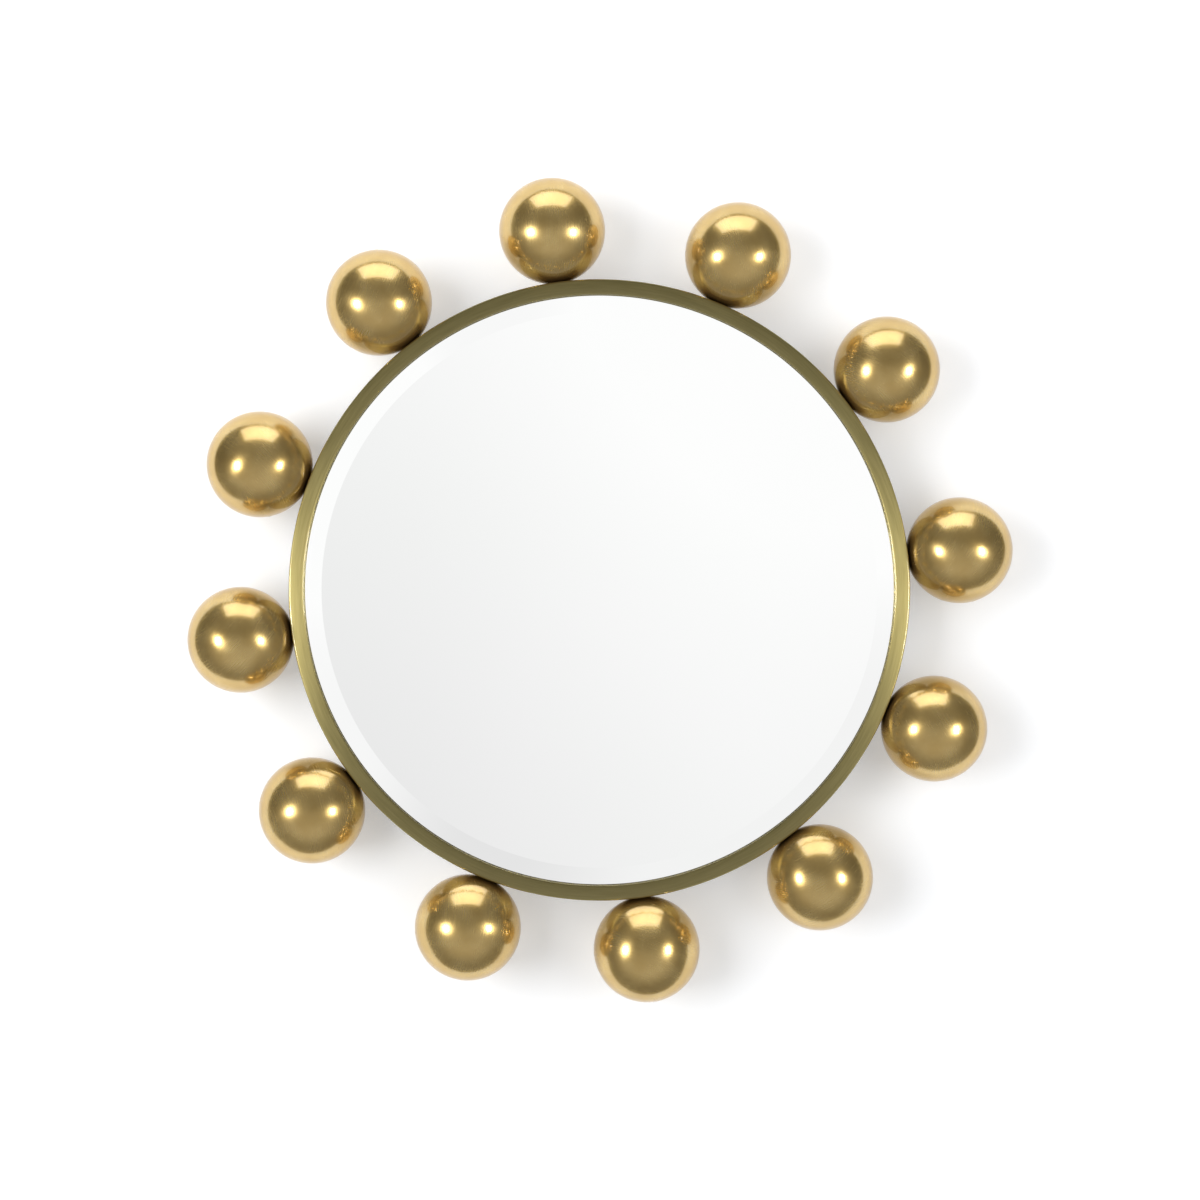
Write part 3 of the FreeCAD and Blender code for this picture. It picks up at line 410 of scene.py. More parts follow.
# %% Finish: planed softwood
RING = 3.4 * MM
FIBRE = 0.7 * MM
HEART = (0.0, 0.085, 0.06)
softwood, tree, shader, place = start_finish("planed_softwood", Specular_IOR_Level=0.35)
from_heart = add_node(tree, "ShaderNodeVectorMath", {0: place, 1: HEART}, operation="SUBTRACT").outputs[0]
slow = add_node(tree, "ShaderNodeVectorMath", {
    0: place, 1: (0.16, 1.0, 1.0)}, operation="MULTIPLY").outputs[0]
waver = add_node(tree, "ShaderNodeTexNoise", {"Vector": slow, "Scale": 22.0, "Detail": 2.0})
across = add_node(tree, "ShaderNodeVectorMath", {0: from_heart, 1: (0.0, 1.0, 1.0)}, operation="MULTIPLY")
distance = add_node(tree, "ShaderNodeVectorMath", {0: across.outputs[0]}, operation="LENGTH").outputs["Value"]
distance = add_node(tree, "ShaderNodeMath", {0: distance, 1: 1 / RING}, operation="MULTIPLY").outputs[0]
wavered = add_node(tree, "ShaderNodeMath", {
    0: waver.outputs["Fac"], 1: 4.5, 2: distance}, operation="MULTIPLY_ADD").outputs[0]
year = add_node(tree, "ShaderNodeMath", {0: wavered}, operation="FRACT").outputs[0]
tone = add_node(tree, "ShaderNodeValToRGB", {"Fac": year})
tone.color_ramp.elements[0].position, tone.color_ramp.elements[0].color = 0.0, colour("DDBB88")
tone.color_ramp.elements[1].position, tone.color_ramp.elements[1].color = 0.96, colour("D3AC76")
late = tone.color_ramp.elements.new(0.86)
late.color = colour("B98A54")
fibre_place = add_node(tree, "ShaderNodeVectorMath", {0: place, 1: (0.02, 1.0, 1.0)}, operation="MULTIPLY")
fibres = add_node(tree, "ShaderNodeTexNoise", {
    "Vector": fibre_place.outputs[0], "Scale": 1 / FIBRE, "Detail": 3.0})
shaded = add_node(tree, "ShaderNodeMixRGB", {
    "Fac": 0.22, "Color1": tone.outputs["Color"], "Color2": fibres.outputs["Fac"]}, blend_type="OVERLAY")
shine = add_node(tree, "ShaderNodeMapRange", {
    "Value": fibres.outputs["Fac"], "To Min": 0.52, "To Max": 0.70})
relief = add_node(tree, "ShaderNodeBump", {
    "Height": fibres.outputs["Fac"], "Strength": 0.25, "Distance": 0.15 * MM})
tree.links.new(shaded.outputs["Color"], shader.inputs["Base Color"])
tree.links.new(shine.outputs[0], shader.inputs["Roughness"])
tree.links.new(relief.outputs[0], shader.inputs["Normal"])

# %% [markdown]
# Geometry Nodes make the hoop and the balls, because both follow a rule. These helpers start a tree
# with named sizes, and turn what it makes into a plain mesh that any other tool can read.

# %% Helpers for Geometry Nodes
def start_tree(name, sizes):
    """A Geometry Nodes tree with an input for each named size."""
    tree = bpy.data.node_groups.new(name, "GeometryNodeTree")
    tree.interface.new_socket("Geometry", in_out="INPUT", socket_type="NodeSocketGeometry")
    for label, value in sizes.items():
        kind = "NodeSocketInt" if isinstance(value, int) else "NodeSocketFloat"
        tree.interface.new_socket(label, in_out="INPUT", socket_type=kind).default_value = value
    tree.interface.new_socket("Geometry", in_out="OUTPUT", socket_type="NodeSocketGeometry")
    return tree, tree.nodes.new("NodeGroupInput")


def end_tree(tree, geometry, finish):
    """Ends a tree with real meshes instead of instances, shaded smooth, in their finish."""
    real = add_node(tree, "GeometryNodeRealizeInstances", {"Geometry": geometry})
    smooth = add_node(tree, "GeometryNodeSetShadeSmooth", {"Geometry": real.outputs[0]})
    done = add_node(tree, "GeometryNodeSetMaterial", {"Geometry": smooth.outputs[0], "Material": finish})
    add_node(tree, "NodeGroupOutput", {0: done.outputs[0]})


def grow(name, start, tree, sizes):
    """A piece made by a tree from a start mesh, as a plain mesh with no modifier left."""
    piece = bpy.data.objects.new(name, start)
    bpy.context.scene.collection.objects.link(piece)
    modifier = piece.modifiers.new("grow", "NODES")
    modifier.node_group = tree
    for item in tree.interface.items_tree:
        if item.in_out == "INPUT" and item.name in sizes:
            modifier[item.identifier] = sizes[item.name]
    evaluated = piece.evaluated_get(bpy.context.evaluated_depsgraph_get())
    mesh = bpy.data.meshes.new_from_object(evaluated)
    piece.modifiers.remove(modifier)
    piece.data = mesh
    mesh.name = name
    mesh.set_sharp_from_angle(angle=math.radians(35))
    check_volume(piece)
    return piece


def hand_over(piece, slot, *nodes, body="mirror"):
    """Hangs a piece on its body's empty and hides the CAD nodes it stands for. slot is not used."""
    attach(piece, body)
    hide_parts(*nodes)


def check_volume(piece):
    """Prints the size of a piece. A volume over zero says that its faces point outwards."""
    shape = bmesh.new()
    shape.from_mesh(piece.data)
    open_edges = sum(1 for edge in shape.edges if not edge.is_manifold)
    volume = shape.calc_volume(signed=True) * 1e6
    triangles = len(shape.calc_loop_triangles())
    shape.free()
    print(piece.name, "triangles", triangles, "volume", round(volume, 2), "cm3, open edges", open_edges)


# %% [markdown]
# The hoop is one section swept round a circle: a thin wall with a lip turned in over the glass. The
# section is drawn with plain corners, and each corner carries the radius that a Fillet Curve node
# gives it. The lip's face is crowned by half a millimetre, and that bends its reflections gently.
# The section is measured from the lip's inner edge, because the circle that it follows lies there.

# %% The hoop's section
CROWN_STEPS = 8
LIP_INNER_EDGE, LIP_OUTER_EDGE, BACK_EDGE, SLIGHT_EDGE = 2.0 * MM, 2.5 * MM, 0.5 * MM, 0.3 * MM


def hoop_section():
    """Corners of the hoop's section as (radius, y, corner radius), from the lip's inner front corner."""
    half = (HOOP_OUTSIDE - LIP_RADIUS) / 2
    middle = LIP_RADIUS + half
    corners = []
    for step in range(CROWN_STEPS + 1):
        off = -1 + 2 * step / CROWN_STEPS
        edge = {0: LIP_INNER_EDGE, CROWN_STEPS: LIP_OUTER_EDGE}.get(step, 0.0)
        corners.append((middle + off * half, LIP_FRONT_Y - CROWN * (1 - off * off), edge))
    corners += [(HOOP_OUTSIDE, HOOP_BACK_Y, BACK_EDGE), (HOOP_INSIDE, HOOP_BACK_Y, SLIGHT_EDGE),
                (HOOP_INSIDE, LIP_BACK_Y, BACK_EDGE), (LIP_RADIUS, LIP_BACK_Y, SLIGHT_EDGE)]
    return corners


section = hoop_section()
section_mesh = bpy.data.meshes.new("hoop_section")
count = len(section)
section_mesh.from_pydata([(r - LIP_RADIUS, y, 0) for r, y, _ in section],
                         [(i, (i + 1) % count) for i in range(count)], [])
edge_radius = section_mesh.attributes.new("edge_radius", "FLOAT", "POINT")
edge_radius.data.foreach_set("value", [edge for _, _, edge in section])
print("section corners:", count)

# %% Sweep the section round
sizes = {"Steps Round": 360, "Fillet Steps": 6, "Path Radius": LIP_RADIUS}
tree, given = start_tree("sweep_round", sizes)
outline = add_node(tree, "GeometryNodeMeshToCurve", {"Mesh": given.outputs["Geometry"]})
wanted = add_node(tree, "GeometryNodeInputNamedAttribute", {"Name": "edge_radius"}, data_type="FLOAT")
rounded = add_node(tree, "GeometryNodeFilletCurve", {
    "Curve": outline.outputs[0], "Count": given.outputs["Fillet Steps"],
    "Radius": wanted.outputs["Attribute"], "Limit Radius": True}, mode="POLY")
ring = add_node(tree, "GeometryNodeCurvePrimitiveCircle", {
    "Resolution": given.outputs["Steps Round"], "Radius": given.outputs["Path Radius"]})
swept = add_node(tree, "GeometryNodeCurveToMesh", {
    "Curve": ring.outputs["Curve"], "Profile Curve": rounded.outputs[0]})
upright = add_node(tree, "GeometryNodeTransform", {
    "Geometry": swept.outputs[0], "Rotation": (math.radians(90), 0, 0)})
end_tree(tree, upright.outputs[0], hoop_brass)
brass_hoop = grow("brass_hoop", section_mesh, tree, sizes)
print("hoop reaches", [round(v / MM, 2) for v in brass_hoop.bound_box[0]])
hand_over(brass_hoop, "hoop_brass", "frame_hoop")

# %% [markdown]
# The hoop's top is dark in the photo although the balls beside it show the overhead box. To come near
# that, the overhead box is told to leave the hoop out. The small boxes leave out the wall, which has
# broad boxes of its own.

# %% Tell each lamp what it lights
light_only([overhead], "kept_from_overhead", brass_hoop, leave_out=True)
light_only(small_boxes, "kept_from_small_boxes", wall, leave_out=True)
light_only(wall_boxes, "lit_by_wall_boxes", wall)

# %% [markdown]
# A ball is a sphere with a small flat where it seats on the hoop. The tree makes one, presses the flat
# with a rule on height, and sets it on twelve points, turned so that each flat faces the mirror's
# axis. Each ball carries its own coordinates with it, and the turned lines follow those.

# %% The balls
POLISH_TILTS = [88, 70, 35, 120, 60, 150, 20, 100, 75, 130, 45, 110]
ball_points = bpy.data.meshes.new("ball_points")
ball_points.from_pydata([on_clock(angle, BALL_CIRCLE) for angle in BALL_ANGLES], [], [])
centres = ball_points.attributes.new("ball_centre", "FLOAT_VECTOR", "POINT")
centres.data.foreach_set("vector", [v for angle in BALL_ANGLES for v in on_clock(angle, BALL_CIRCLE)])
axes = ball_points.attributes.new("polish_axis", "FLOAT_VECTOR", "POINT")
axes.data.foreach_set("vector", [
    v for tilt in POLISH_TILTS for v in on_clock(tilt, 1.0, 0.25).normalized()])
sizes = {"Ball Radius": BALL_RADIUS, "Seat Radius": BALL_SEAT, "Segments": 112, "Rings": 56}
tree, given = start_tree("balls_round_a_hoop", sizes)
sphere = add_node(tree, "GeometryNodeMeshUVSphere", {
    "Segments": given.outputs["Segments"], "Rings": given.outputs["Rings"],
    "Radius": given.outputs["Ball Radius"]})
here = add_node(tree, "GeometryNodeInputPosition").outputs[0]
part = add_node(tree, "ShaderNodeSeparateXYZ", {0: here})
squared = add_node(tree, "ShaderNodeMath", {0: given.outputs["Ball Radius"], 1: 2.0}, operation="POWER")
seat_squared = add_node(tree, "ShaderNodeMath", {0: given.outputs["Seat Radius"], 1: 2.0}, operation="POWER")
rest = add_node(tree, "ShaderNodeMath", {
    0: squared.outputs[0], 1: seat_squared.outputs[0]}, operation="SUBTRACT")
height = add_node(tree, "ShaderNodeMath", {0: rest.outputs[0]}, operation="SQRT")
lowest = add_node(tree, "ShaderNodeMath", {0: height.outputs[0], 1: -1.0}, operation="MULTIPLY")
pressed = add_node(tree, "ShaderNodeMath", {0: part.outputs["Z"], 1: lowest.outputs[0]}, operation="MAXIMUM")
seated = add_node(tree, "ShaderNodeCombineXYZ", {
    0: part.outputs["X"], 1: part.outputs["Y"], 2: pressed.outputs[0]})
flattened = add_node(tree, "GeometryNodeSetPosition", {
    "Geometry": sphere.outputs["Mesh"], "Position": seated.outputs[0]})
facing = add_node(tree, "FunctionNodeAlignRotationToVector", {
    "Vector": add_node(tree, "GeometryNodeInputPosition").outputs[0]}, axis="Z")
placed = add_node(tree, "GeometryNodeInstanceOnPoints", {
    "Points": given.outputs["Geometry"], "Instance": flattened.outputs[0], "Rotation": facing.outputs[0]})
end_tree(tree, placed.outputs[0], ball_brass)
brass_balls = grow("brass_balls", ball_points, tree, sizes)
hand_over(brass_balls, "ball_brass", *["ball_%02d" % number for number in range(1, 13)])

# %% [markdown]
# Many pieces are round about an axis, as if they came off a lathe: the glass, the rubber strip, nuts,
# washers and screws. One function spins a section into a closed mesh. A hexagon nut is a turned piece
# too, cut to six flats, and its corners are left only where the turned outline is wide enough.

# %% A helper that turns a section
def turn_section(name, section, finish=None, steps=256, flats=None, sharp=30):
    """A closed piece turned round the Y axis from (radius, y) points in millimetres. flats is the width
    in millimetres across six flats that the turned shape is cut to."""
    shape = bmesh.new()
    rings = []
    for r, y in section:
        if r == 0:
            rings.append([shape.verts.new((0, y * MM, 0))])
            continue
        ring = []
        for step in range(steps):
            turn = 2 * math.pi * step / steps
            reach = r
            if flats:
                off_flat = turn % (math.pi / 3) - math.pi / 6
                reach = min(r, flats / 2 / math.cos(off_flat))
            ring.append(shape.verts.new((reach * MM * math.sin(turn), y * MM, reach * MM * math.cos(turn))))
        rings.append(ring)
    pairs = list(zip(rings, rings[1:]))
    if len(rings[0]) > 1:
        pairs.append((rings[-1], rings[0]))
    for one, two in pairs:
        for step in range(steps):
            after = (step + 1) % steps
            corners = [one[step % len(one)], one[after % len(one)],
                       two[after % len(two)], two[step % len(two)]]
            corners = list(dict.fromkeys(corners))
            if len(corners) > 2:
                shape.faces.new(corners)
    bmesh.ops.recalc_face_normals(shape, faces=shape.faces)
    mesh = bpy.data.meshes.new(name)
    shape.to_mesh(mesh)
    shape.free()
    mesh.shade_smooth()
    mesh.set_sharp_from_angle(angle=math.radians(sharp))
    mesh.materials.append(finish)
    piece = bpy.data.objects.new(name, mesh)
    bpy.context.scene.collection.objects.link(piece)
    check_volume(piece)
    return piece


# %% [markdown]
# The glass is a plate 5 mm thick, flat in the middle, with a bevel ground 25 mm wide whose inner 17 mm
# show past the lip. The line where the flat meets the bevel is kept sharp, because that line is what
# shows. The silver on its back is kept from damp by grey paint, which covers the edge too. A rubber
# strip of L section beds it: one leg lies between the lip and the bevel, and the other keeps the
# glass's edge off the brass.

# %% Glass and its rubber strip
GLASS_FRONT, GLASS_BACK, PAINT_FROM = -16.15, -11.15, -13.4
FLAT_RADIUS, GLASS_RADIUS = 270, 295
glass_section = [(0, GLASS_FRONT), (90, GLASS_FRONT), (180, GLASS_FRONT), (FLAT_RADIUS, GLASS_FRONT),
                 (282, -14.95), (294, -13.75), (GLASS_RADIUS, -13.45), (GLASS_RADIUS, -11.35),
                 (294.8, GLASS_BACK), (150, GLASS_BACK), (0, GLASS_BACK)]
bevelled_glass = turn_section("bevelled_glass", glass_section, mirror_glass, sharp=3)
bevelled_glass.data.materials.append(backing_paint)
painted = [face for face in bevelled_glass.data.polygons if face.center.y > PAINT_FROM * MM]
for face in painted:
    face.material_index = 1
print("faces with backing paint:", len(painted))
hand_over(bevelled_glass, "silvered_glass", "mirror_glass")

strip_section = [(288.5, -15.7), (288.8, -16), (298.5, -16), (298.8, -15.7), (298.8, -11.4), (298.55, -11.15),
                 (295.45, -11.15), (295.2, -11.4), (295.2, -13.6), (294.9, -13.86), (288.8, -14.47),
                 (288.5, -14.8)]
rubber_strip = turn_section("rubber_strip", strip_section, gasket_rubber)
hand_over(rubber_strip, "gasket_rubber", "glazing_gasket")

# %% [markdown]
# Pieces with holes and flats, such as the board, the battens and the rails, keep the CAD shape. A real
# edge is never quite sharp, and the thin bright line along it is what makes an edge look real. So a
# copy is taken, its seams are merged, flat faces are joined, and its edges are rounded. Weighted
# normals then keep the flat faces flat where they meet the rounding.

# %% A helper that rounds the edges of a copy
SAME_POINT, SAME_PLANE, REAL_CORNER = 0.002 * MM, math.radians(0.5), math.radians(40)


def soften(name, node_name, finish, width):
    """A copy of a CAD node, its edges rounded by that width in metres, in its finish."""
    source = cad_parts[node_name]
    shape = bmesh.new()
    shape.from_mesh(source.data)
    shape.transform(source.matrix_world)
    bmesh.ops.remove_doubles(shape, verts=shape.verts, dist=SAME_POINT)
    bmesh.ops.dissolve_limit(shape, angle_limit=SAME_PLANE, verts=shape.verts, edges=shape.edges)
    corners = [edge for edge in shape.edges if edge.is_manifold and edge.calc_face_angle() > REAL_CORNER]
    bmesh.ops.bevel(shape, geom=corners, offset=width, offset_type="OFFSET", segments=3, profile=0.5,
                    affect="EDGES", clamp_overlap=True)
    bmesh.ops.triangulate(shape, faces=[face for face in shape.faces if len(face.verts) > 4])
    mesh = bpy.data.meshes.new(name)
    shape.to_mesh(mesh)
    shape.free()
    mesh.shade_smooth()
    mesh.set_sharp_from_angle(angle=math.radians(35))
    mesh.materials.append(finish)
    piece = bpy.data.objects.new(name, mesh)
    bpy.context.scene.collection.objects.link(piece)
    even = piece.modifiers.new("even", "WEIGHTED_NORMAL")
    even.keep_sharp = True
    evened = bpy.data.meshes.new_from_object(piece.evaluated_get(bpy.context.evaluated_depsgraph_get()))
    piece.modifiers.remove(even)
    piece.data = evened
    evened.name = name
    check_volume(piece)
    return piece


# %% [markdown]
# The board behind the glass is 15 mm fibreboard, painted black, with a hole for each screw. Two planed
# battens stand on it. They carry the mirror out as far as the balls reach, so that the balls clear the
# wall by 2 mm.

# %% Board and battens
painted_board = soften("painted_board", "backing_board", board_paint, 0.4 * MM)
hand_over(painted_board, "painted_board", "backing_board")
for height in ("upper", "lower"):
    batten = soften("%s_softwood_batten" % height, "%s_batten" % height, softwood, 0.8 * MM)
    hand_over(batten, "batten_wood", "%s_batten" % height)

# %% [markdown]
# The mirror hangs by two aluminium rails of Z section, made by pushing soft metal through a die. One is
# screwed to the upper batten and hooks over the other, which is screwed to the wall.

# %% Hanging rails
hanging_rail = soften("hanging_rail", "mirror_rail", aluminium, 0.25 * MM)
hand_over(hanging_rail, "rail_aluminium", "mirror_rail")
rail_on_wall = soften("rail_on_wall", "wall_rail", aluminium, 0.25 * MM)
hand_over(rail_on_wall, "rail_aluminium", "wall_rail", body="wall")

# %% [markdown]
# What repeats is drawn once and set out by one tree: it takes a pattern, a point for each copy and the
# way that each one faces. Each pattern is drawn along the Y axis. The pattern is deleted afterwards.

# %% A tree that repeats a pattern at places
repeat_tree, given = start_tree("repeat_at_places", {})
repeat_tree.interface.new_socket("Pattern", in_out="INPUT", socket_type="NodeSocketObject")
repeat_tree.interface.new_socket("Finish", in_out="INPUT", socket_type="NodeSocketMaterial")
pattern_shape = add_node(repeat_tree, "GeometryNodeObjectInfo", {"Object": given.outputs["Pattern"]})
facing = add_node(repeat_tree, "GeometryNodeInputNamedAttribute", {
    "Name": "facing"}, data_type="FLOAT_VECTOR")
facing = add_node(repeat_tree, "FunctionNodeEulerToRotation", {0: facing.outputs["Attribute"]})
copies = add_node(repeat_tree, "GeometryNodeInstanceOnPoints", {
    "Points": given.outputs["Geometry"], "Instance": pattern_shape.outputs["Geometry"],
    "Rotation": facing.outputs[0]})
end_tree(repeat_tree, copies.outputs[0], given.outputs["Finish"])


def repeat(name, pattern, finish, places, forward=None):
    """One piece of many copies. places are points in metres; forward(point) gives the direction that a
    copy's own Y axis takes there, which is the mirror's Y axis if nothing is given."""
    points = bpy.data.meshes.new(name + "_places")
    points.from_pydata(places, [], [])
    turned = points.attributes.new("facing", "FLOAT_VECTOR", "POINT")
    ways = [forward(Vector(place)) if forward else Vector((0, 1, 0)) for place in places]
    angles = [angle for way in ways for angle in way.to_track_quat("Y", "Z").to_euler()]
    turned.data.foreach_set("vector", angles)
    piece = grow(name, points, repeat_tree, {"Pattern": pattern, "Finish": finish})
    bpy.data.objects.remove(pattern)
    return piece


# %% [markdown]
# Each ball is taken to be held by a stud through the hoop's wall, with a washer and a nut inside. The
# hoop made here has no holes, so each stud passes through its surface. The stud's thread is drawn as a stack of ridges one millimetre apart, which is an M6 thread's pitch. Nuts
# are bright zinc plate on steel, and their corners are turned off so that a spanner slips on.

# %% Studs, washers and nuts
def thread(outer, root, pitch, start, stop):
    """Section points of a thread's ridges along an axis, from start to stop."""
    turns = int(abs(stop - start) / pitch)
    step = pitch if stop > start else -pitch
    ridges = []
    for turn in range(turns):
        foot = start + turn * step
        ridges += [(root, foot), (outer, foot + 0.4 * step), (outer, foot + 0.55 * step)]
    return ridges


STUD_START, WASHER_FOOT, NUT_FOOT = 290.3, 297.33, 292.33
stud_pattern = turn_section("stud_pattern", [(0, 0), (2.4, 0)] + thread(3.0, 2.55, 1.0, 0.3, 24.3) +
                            [(2.4, 24.7), (0, 24.7)], steps=24, sharp=50)
washer_pattern = turn_section("washer_pattern", [
    (3.3, 0.1), (3.45, 0), (6.05, 0), (6.25, 0.2), (6.25, 1.4), (6.05, 1.6), (3.45, 1.6), (3.3, 1.5)],
    steps=48)
nut_pattern = turn_section("nut_pattern", [
    (3.05, 0.5), (3.5, 0), (4.75, 0), (5.78, 0.6), (5.78, 4.4), (4.75, 5), (3.5, 5), (3.05, 4.5)],
    steps=48, flats=10, sharp=20)
for name, pattern, foot, node_name in (("threaded_studs", stud_pattern, STUD_START, "ball_studs"),
                                       ("flat_washers", washer_pattern, WASHER_FOOT, "ball_washers"),
                                       ("hexagon_nuts", nut_pattern, NUT_FOOT, "ball_nuts")):
    places = [on_clock(angle, foot * MM) for angle in BALL_ANGLES]
    fasteners = repeat(name, pattern, zinc_steel, places, forward=Vector.normalized)
    hand_over(fasteners, "zinc_steel", node_name)

# %% [markdown]
# The screws have a round low head with a cross recess, and a coarse thread that cuts its own way into
# wood. A press forms the recess with a four-winged punch. Here a cutter of the same shape, two crossed
# wedges, is taken away from the turned screw.

# %% Screws
WING_TOP, WING_FLOOR, FLOOR_REACH, RECESS_TURN, CUT_ABOVE = 0.34, 0.26, 0.55, 20, 0.6
ROOT_SHARE, PITCH_SHARE, POINT_SHARE = 0.34, 0.42, 0.8


def cross_cut(pattern, top, reach, depth):
    """Takes a cross recess out of the end of a screw's head that lies at y = top, in millimetres."""
    shape = bmesh.new()
    for turn in (0, 90):
        wedge = bmesh.ops.create_cube(shape, size=1.0)["verts"]
        for corner in wedge:
            deep = corner.co.y < 0
            width = reach * (FLOOR_REACH if deep else 1.0)
            corner.co = Vector((corner.co.x * 2 * width, top + (-depth if deep else CUT_ABOVE),
                                corner.co.z * reach * (WING_FLOOR if deep else WING_TOP))) * MM
        turned = Matrix.Rotation(math.radians(turn + RECESS_TURN), 3, "Y")
        bmesh.ops.rotate(shape, verts=wedge, matrix=turned)
    mesh = bpy.data.meshes.new("cutter")
    shape.to_mesh(mesh)
    shape.free()
    cutter = bpy.data.objects.new("cutter", mesh)
    bpy.context.scene.collection.objects.link(cutter)
    cut = pattern.modifiers.new("recess", "BOOLEAN")
    cut.object, cut.operation, cut.solver, cut.use_self = cutter, "DIFFERENCE", "EXACT", True
    mesh = bpy.data.meshes.new_from_object(pattern.evaluated_get(bpy.context.evaluated_depsgraph_get()))
    pattern.modifiers.remove(cut)
    pattern.data = mesh
    bpy.data.objects.remove(cutter)
    return pattern


def pan_screw(name, diameter, length, head):
    """A wood screw that points to -Y, with the underside of its round head at the origin."""
    rim, root, pitch, unit = head / 2, diameter * ROOT_SHARE, diameter * PITCH_SHARE, head / 8
    dome = [(0, 2.5 * unit), (1.7 * unit, 2.42 * unit), (2.6 * unit, 2.12 * unit), (3.35 * unit, 1.6 * unit),
            (3.85 * unit, 0.85 * unit), (rim, 0.4 * unit), (rim, 0.1), (rim - 0.1, 0)]
    shank = [(diameter / 2, 0)] + thread(diameter / 2, root, pitch, -0.4, diameter - length)
    point = [(root, diameter * POINT_SHARE - length), (0, -length)]
    turned = turn_section(name, dome + shank + point, steps=32)
    return cross_cut(turned, 2.5 * unit, 2.1 * unit, 1.7 * unit)


def flat_screw(name, diameter, length, head):
    """A countersunk wood screw that points to -Y, with the top of its flat head at the origin."""
    rim, root, pitch = head / 2, diameter * ROOT_SHARE, diameter * PITCH_SHARE
    cone = [(0, 0), (rim - 0.15, 0), (rim, -0.15), (rim, -0.3), (diameter / 2, diameter / 2 - rim)]
    ridges = thread(diameter / 2, root, pitch, -0.4 * length, diameter - length)
    point = [(root, diameter * POINT_SHARE - length), (0, -length)]
    turned = turn_section(name, cone + ridges + point, steps=32)
    return cross_cut(turned, 0, rim * 0.52, rim * 0.45)


TAB_ANGLES = [7.5 + 60 * turn for turn in range(6)]
TAB_SCREW_CIRCLE, TAB_SCREW_Y = 274, 8.35
RAIL_SCREW_Y, RAIL_SCREW_Z = 50.1, 131.5
BATTEN_Z, BATTEN_SCREW_Y = 130, -8.65
BUMPER_X, BUMPER_Y, BUMPER_SCREW_Y = 155, 47.1, 50
PAN_SCREWS = {
    "tab": (4, 12, 8, [on_clock(angle, TAB_SCREW_CIRCLE * MM, TAB_SCREW_Y * MM) for angle in TAB_ANGLES]),
    "rail": (4, 20, 8, [(x * MM, RAIL_SCREW_Y * MM, RAIL_SCREW_Z * MM) for x in (-120, 0, 120)]),
    "bumper": (3.5, 16, 7, [(x * MM, BUMPER_SCREW_Y * MM, -BATTEN_Z * MM) for x in (-BUMPER_X, BUMPER_X)])}
for kind, (diameter, length, head, places) in PAN_SCREWS.items():
    pattern = pan_screw(kind + "_screw_pattern", diameter, length, head)
    hand_over(repeat(kind + "_pan_screws", pattern, zinc_steel, places), "zinc_steel", kind + "_screws")
batten_screws = repeat("countersunk_screws", flat_screw("batten_screw_pattern", 5, 42, 10), zinc_steel,
                       [(x * MM, BATTEN_SCREW_Y * MM, z * MM)
                        for z in (BATTEN_Z, -BATTEN_Z) for x in (-150, -50, 50, 150)],
                       forward=lambda place: Vector((0, -1, 0)))
hand_over(batten_screws, "zinc_steel", "batten_screws")

# %% [markdown]
# Six tabs of brass strip are brazed inside the hoop and hold the board. The softened copy of the first
# is the pattern, and the tree turns it to the other five places about the mirror's axis.

# %% Tabs
tab_pattern = soften("tab_pattern", "retaining_tab_1", None, 0.3 * MM)
sizes = {"Tabs": 6}
tree, given = start_tree("turn_round_axis", sizes)
tree.interface.new_socket("Finish", in_out="INPUT", socket_type="NodeSocketMaterial")
share = add_node(tree, "ShaderNodeMath", {0: 2 * math.pi, 1: given.outputs["Tabs"]}, operation="DIVIDE")
turn = add_node(tree, "ShaderNodeMath", {
    0: add_node(tree, "GeometryNodeInputIndex").outputs[0], 1: share.outputs[0]}, operation="MULTIPLY")
axis_turn = add_node(tree, "ShaderNodeCombineXYZ", {"Y": turn.outputs[0]})
at_axis = add_node(tree, "GeometryNodePoints", {"Count": given.outputs["Tabs"]})
turned_tabs = add_node(tree, "GeometryNodeInstanceOnPoints", {
    "Points": at_axis.outputs[0], "Instance": given.outputs["Geometry"], "Rotation": axis_turn.outputs[0]})
end_tree(tree, turned_tabs.outputs[0], given.outputs["Finish"])
brass_tabs = grow("brass_tabs", tab_pattern.data, tree, {**sizes, "Finish": turned_brass})
bpy.data.objects.remove(tab_pattern)
hand_over(brass_tabs, "hoop_brass", *["retaining_tab_%d" % number for number in range(1, 7)])

# %% [markdown]
# Two moulded rubber bumpers keep the lower batten as far from the wall as the rails keep the upper one.
# Each tapers a little, as a moulding must to leave its mould, and has a recess for the screw's head.

# %% Rubber bumpers
bumper_pattern = turn_section("bumper_pattern", [
    (2.05, 0), (11.6, 0), (12, 0.4), (11.2, 5.7), (10.95, 6.45), (10.3, 6.9), (4.4, 6.9), (3.95, 6.7),
    (3.8, 6.2), (3.8, 2.9), (2.05, 2.9)], steps=64, sharp=50)
bumpers = repeat("rubber_bumpers", bumper_pattern, bumper_rubber,
                 [(x * MM, BUMPER_Y * MM, -BATTEN_Z * MM) for x in (-BUMPER_X, BUMPER_X)])
hand_over(bumpers, "bumper_rubber", "left_bumper", "right_bumper")

# %% [markdown]
# The glass is stuck to the board with dabs of mastic: one in the middle, six round it and twelve near
# the edge. Each was pressed flat when the board went on, so it bulges at its rim and no two came out
# alike. The tree gives each dab its own turn and its own width each way, from a fixed seed.

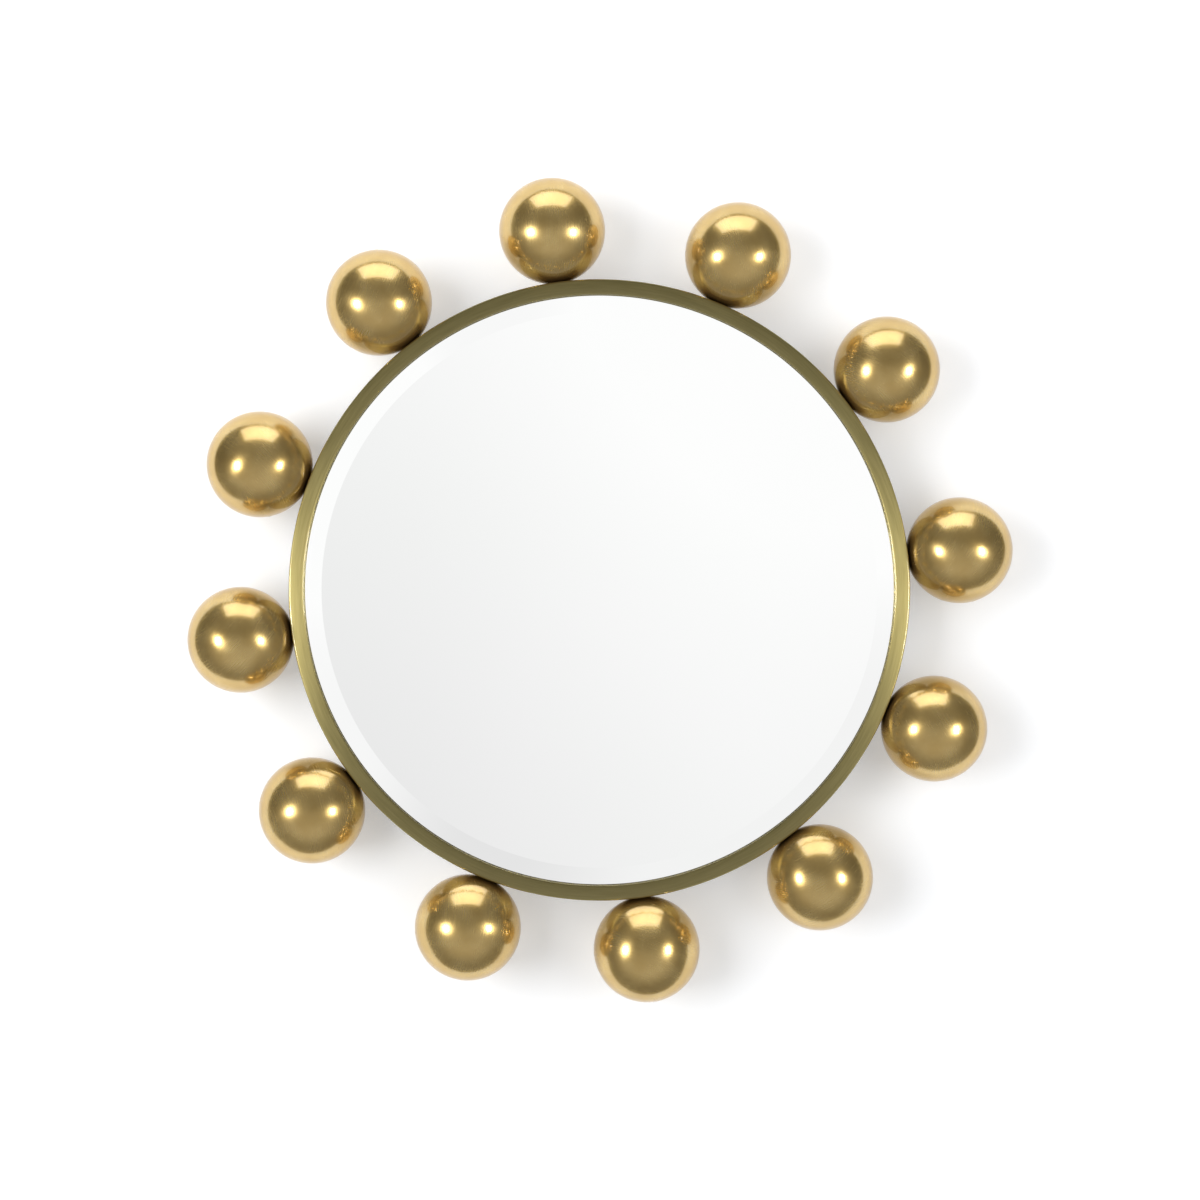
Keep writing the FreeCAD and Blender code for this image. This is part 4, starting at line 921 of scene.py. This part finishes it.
# %% Dabs of mastic
dab_pattern = turn_section("dab_pattern", [
    (0, 0), (16.5, 0), (18.6, 0.35), (19.5, 1.25), (18.6, 2.15), (16.5, 2.5), (0, 2.5)], steps=48, sharp=50)
dab_points = bpy.data.meshes.new("dab_places")
INNER_DABS, OUTER_DABS = 120 * MM, 225 * MM
dab_points.from_pydata([(0, GLASS_BACK * MM, 0)] +
                       [on_clock(60 * turn, INNER_DABS, GLASS_BACK * MM) for turn in range(6)] +
                       [on_clock(15 + 30 * turn, OUTER_DABS, GLASS_BACK * MM) for turn in range(12)], [], [])
sizes = {"Narrowest": 0.84, "Widest": 1.0, "Seed": 7}
tree, given = start_tree("scatter_dabs", sizes)
tree.interface.new_socket("Pattern", in_out="INPUT", socket_type="NodeSocketObject")
tree.interface.new_socket("Finish", in_out="INPUT", socket_type="NodeSocketMaterial")
dab_shape = add_node(tree, "GeometryNodeObjectInfo", {"Object": given.outputs["Pattern"]})
widths = add_node(tree, "FunctionNodeRandomValue", {
    "Seed": given.outputs["Seed"]}, data_type="FLOAT_VECTOR")
spread = add_node(tree, "ShaderNodeMapRange", {
    "Vector": widths.outputs[0], 9: given.outputs["Narrowest"], 10: given.outputs["Widest"]},
    data_type="FLOAT_VECTOR")
apart = add_node(tree, "ShaderNodeSeparateXYZ", {0: spread.outputs[1]})
scale = add_node(tree, "ShaderNodeCombineXYZ", {"X": apart.outputs["X"], "Y": 1.0, "Z": apart.outputs["Z"]})
swing = add_node(tree, "ShaderNodeMath", {0: apart.outputs["Y"], 1: 40.0}, operation="MULTIPLY")
swing = add_node(tree, "ShaderNodeCombineXYZ", {"Y": swing.outputs[0]})
dabs = add_node(tree, "GeometryNodeInstanceOnPoints", {
    "Points": given.outputs["Geometry"], "Instance": dab_shape.outputs["Geometry"],
    "Rotation": swing.outputs[0], "Scale": scale.outputs[0]})
end_tree(tree, dabs.outputs[0], given.outputs["Finish"])
mastic_dabs = grow("mastic_dabs", dab_points, tree, {**sizes, "Pattern": dab_pattern, "Finish": mastic})
bpy.data.objects.remove(dab_pattern)
hand_over(mastic_dabs, "mastic", "mastic_pads")
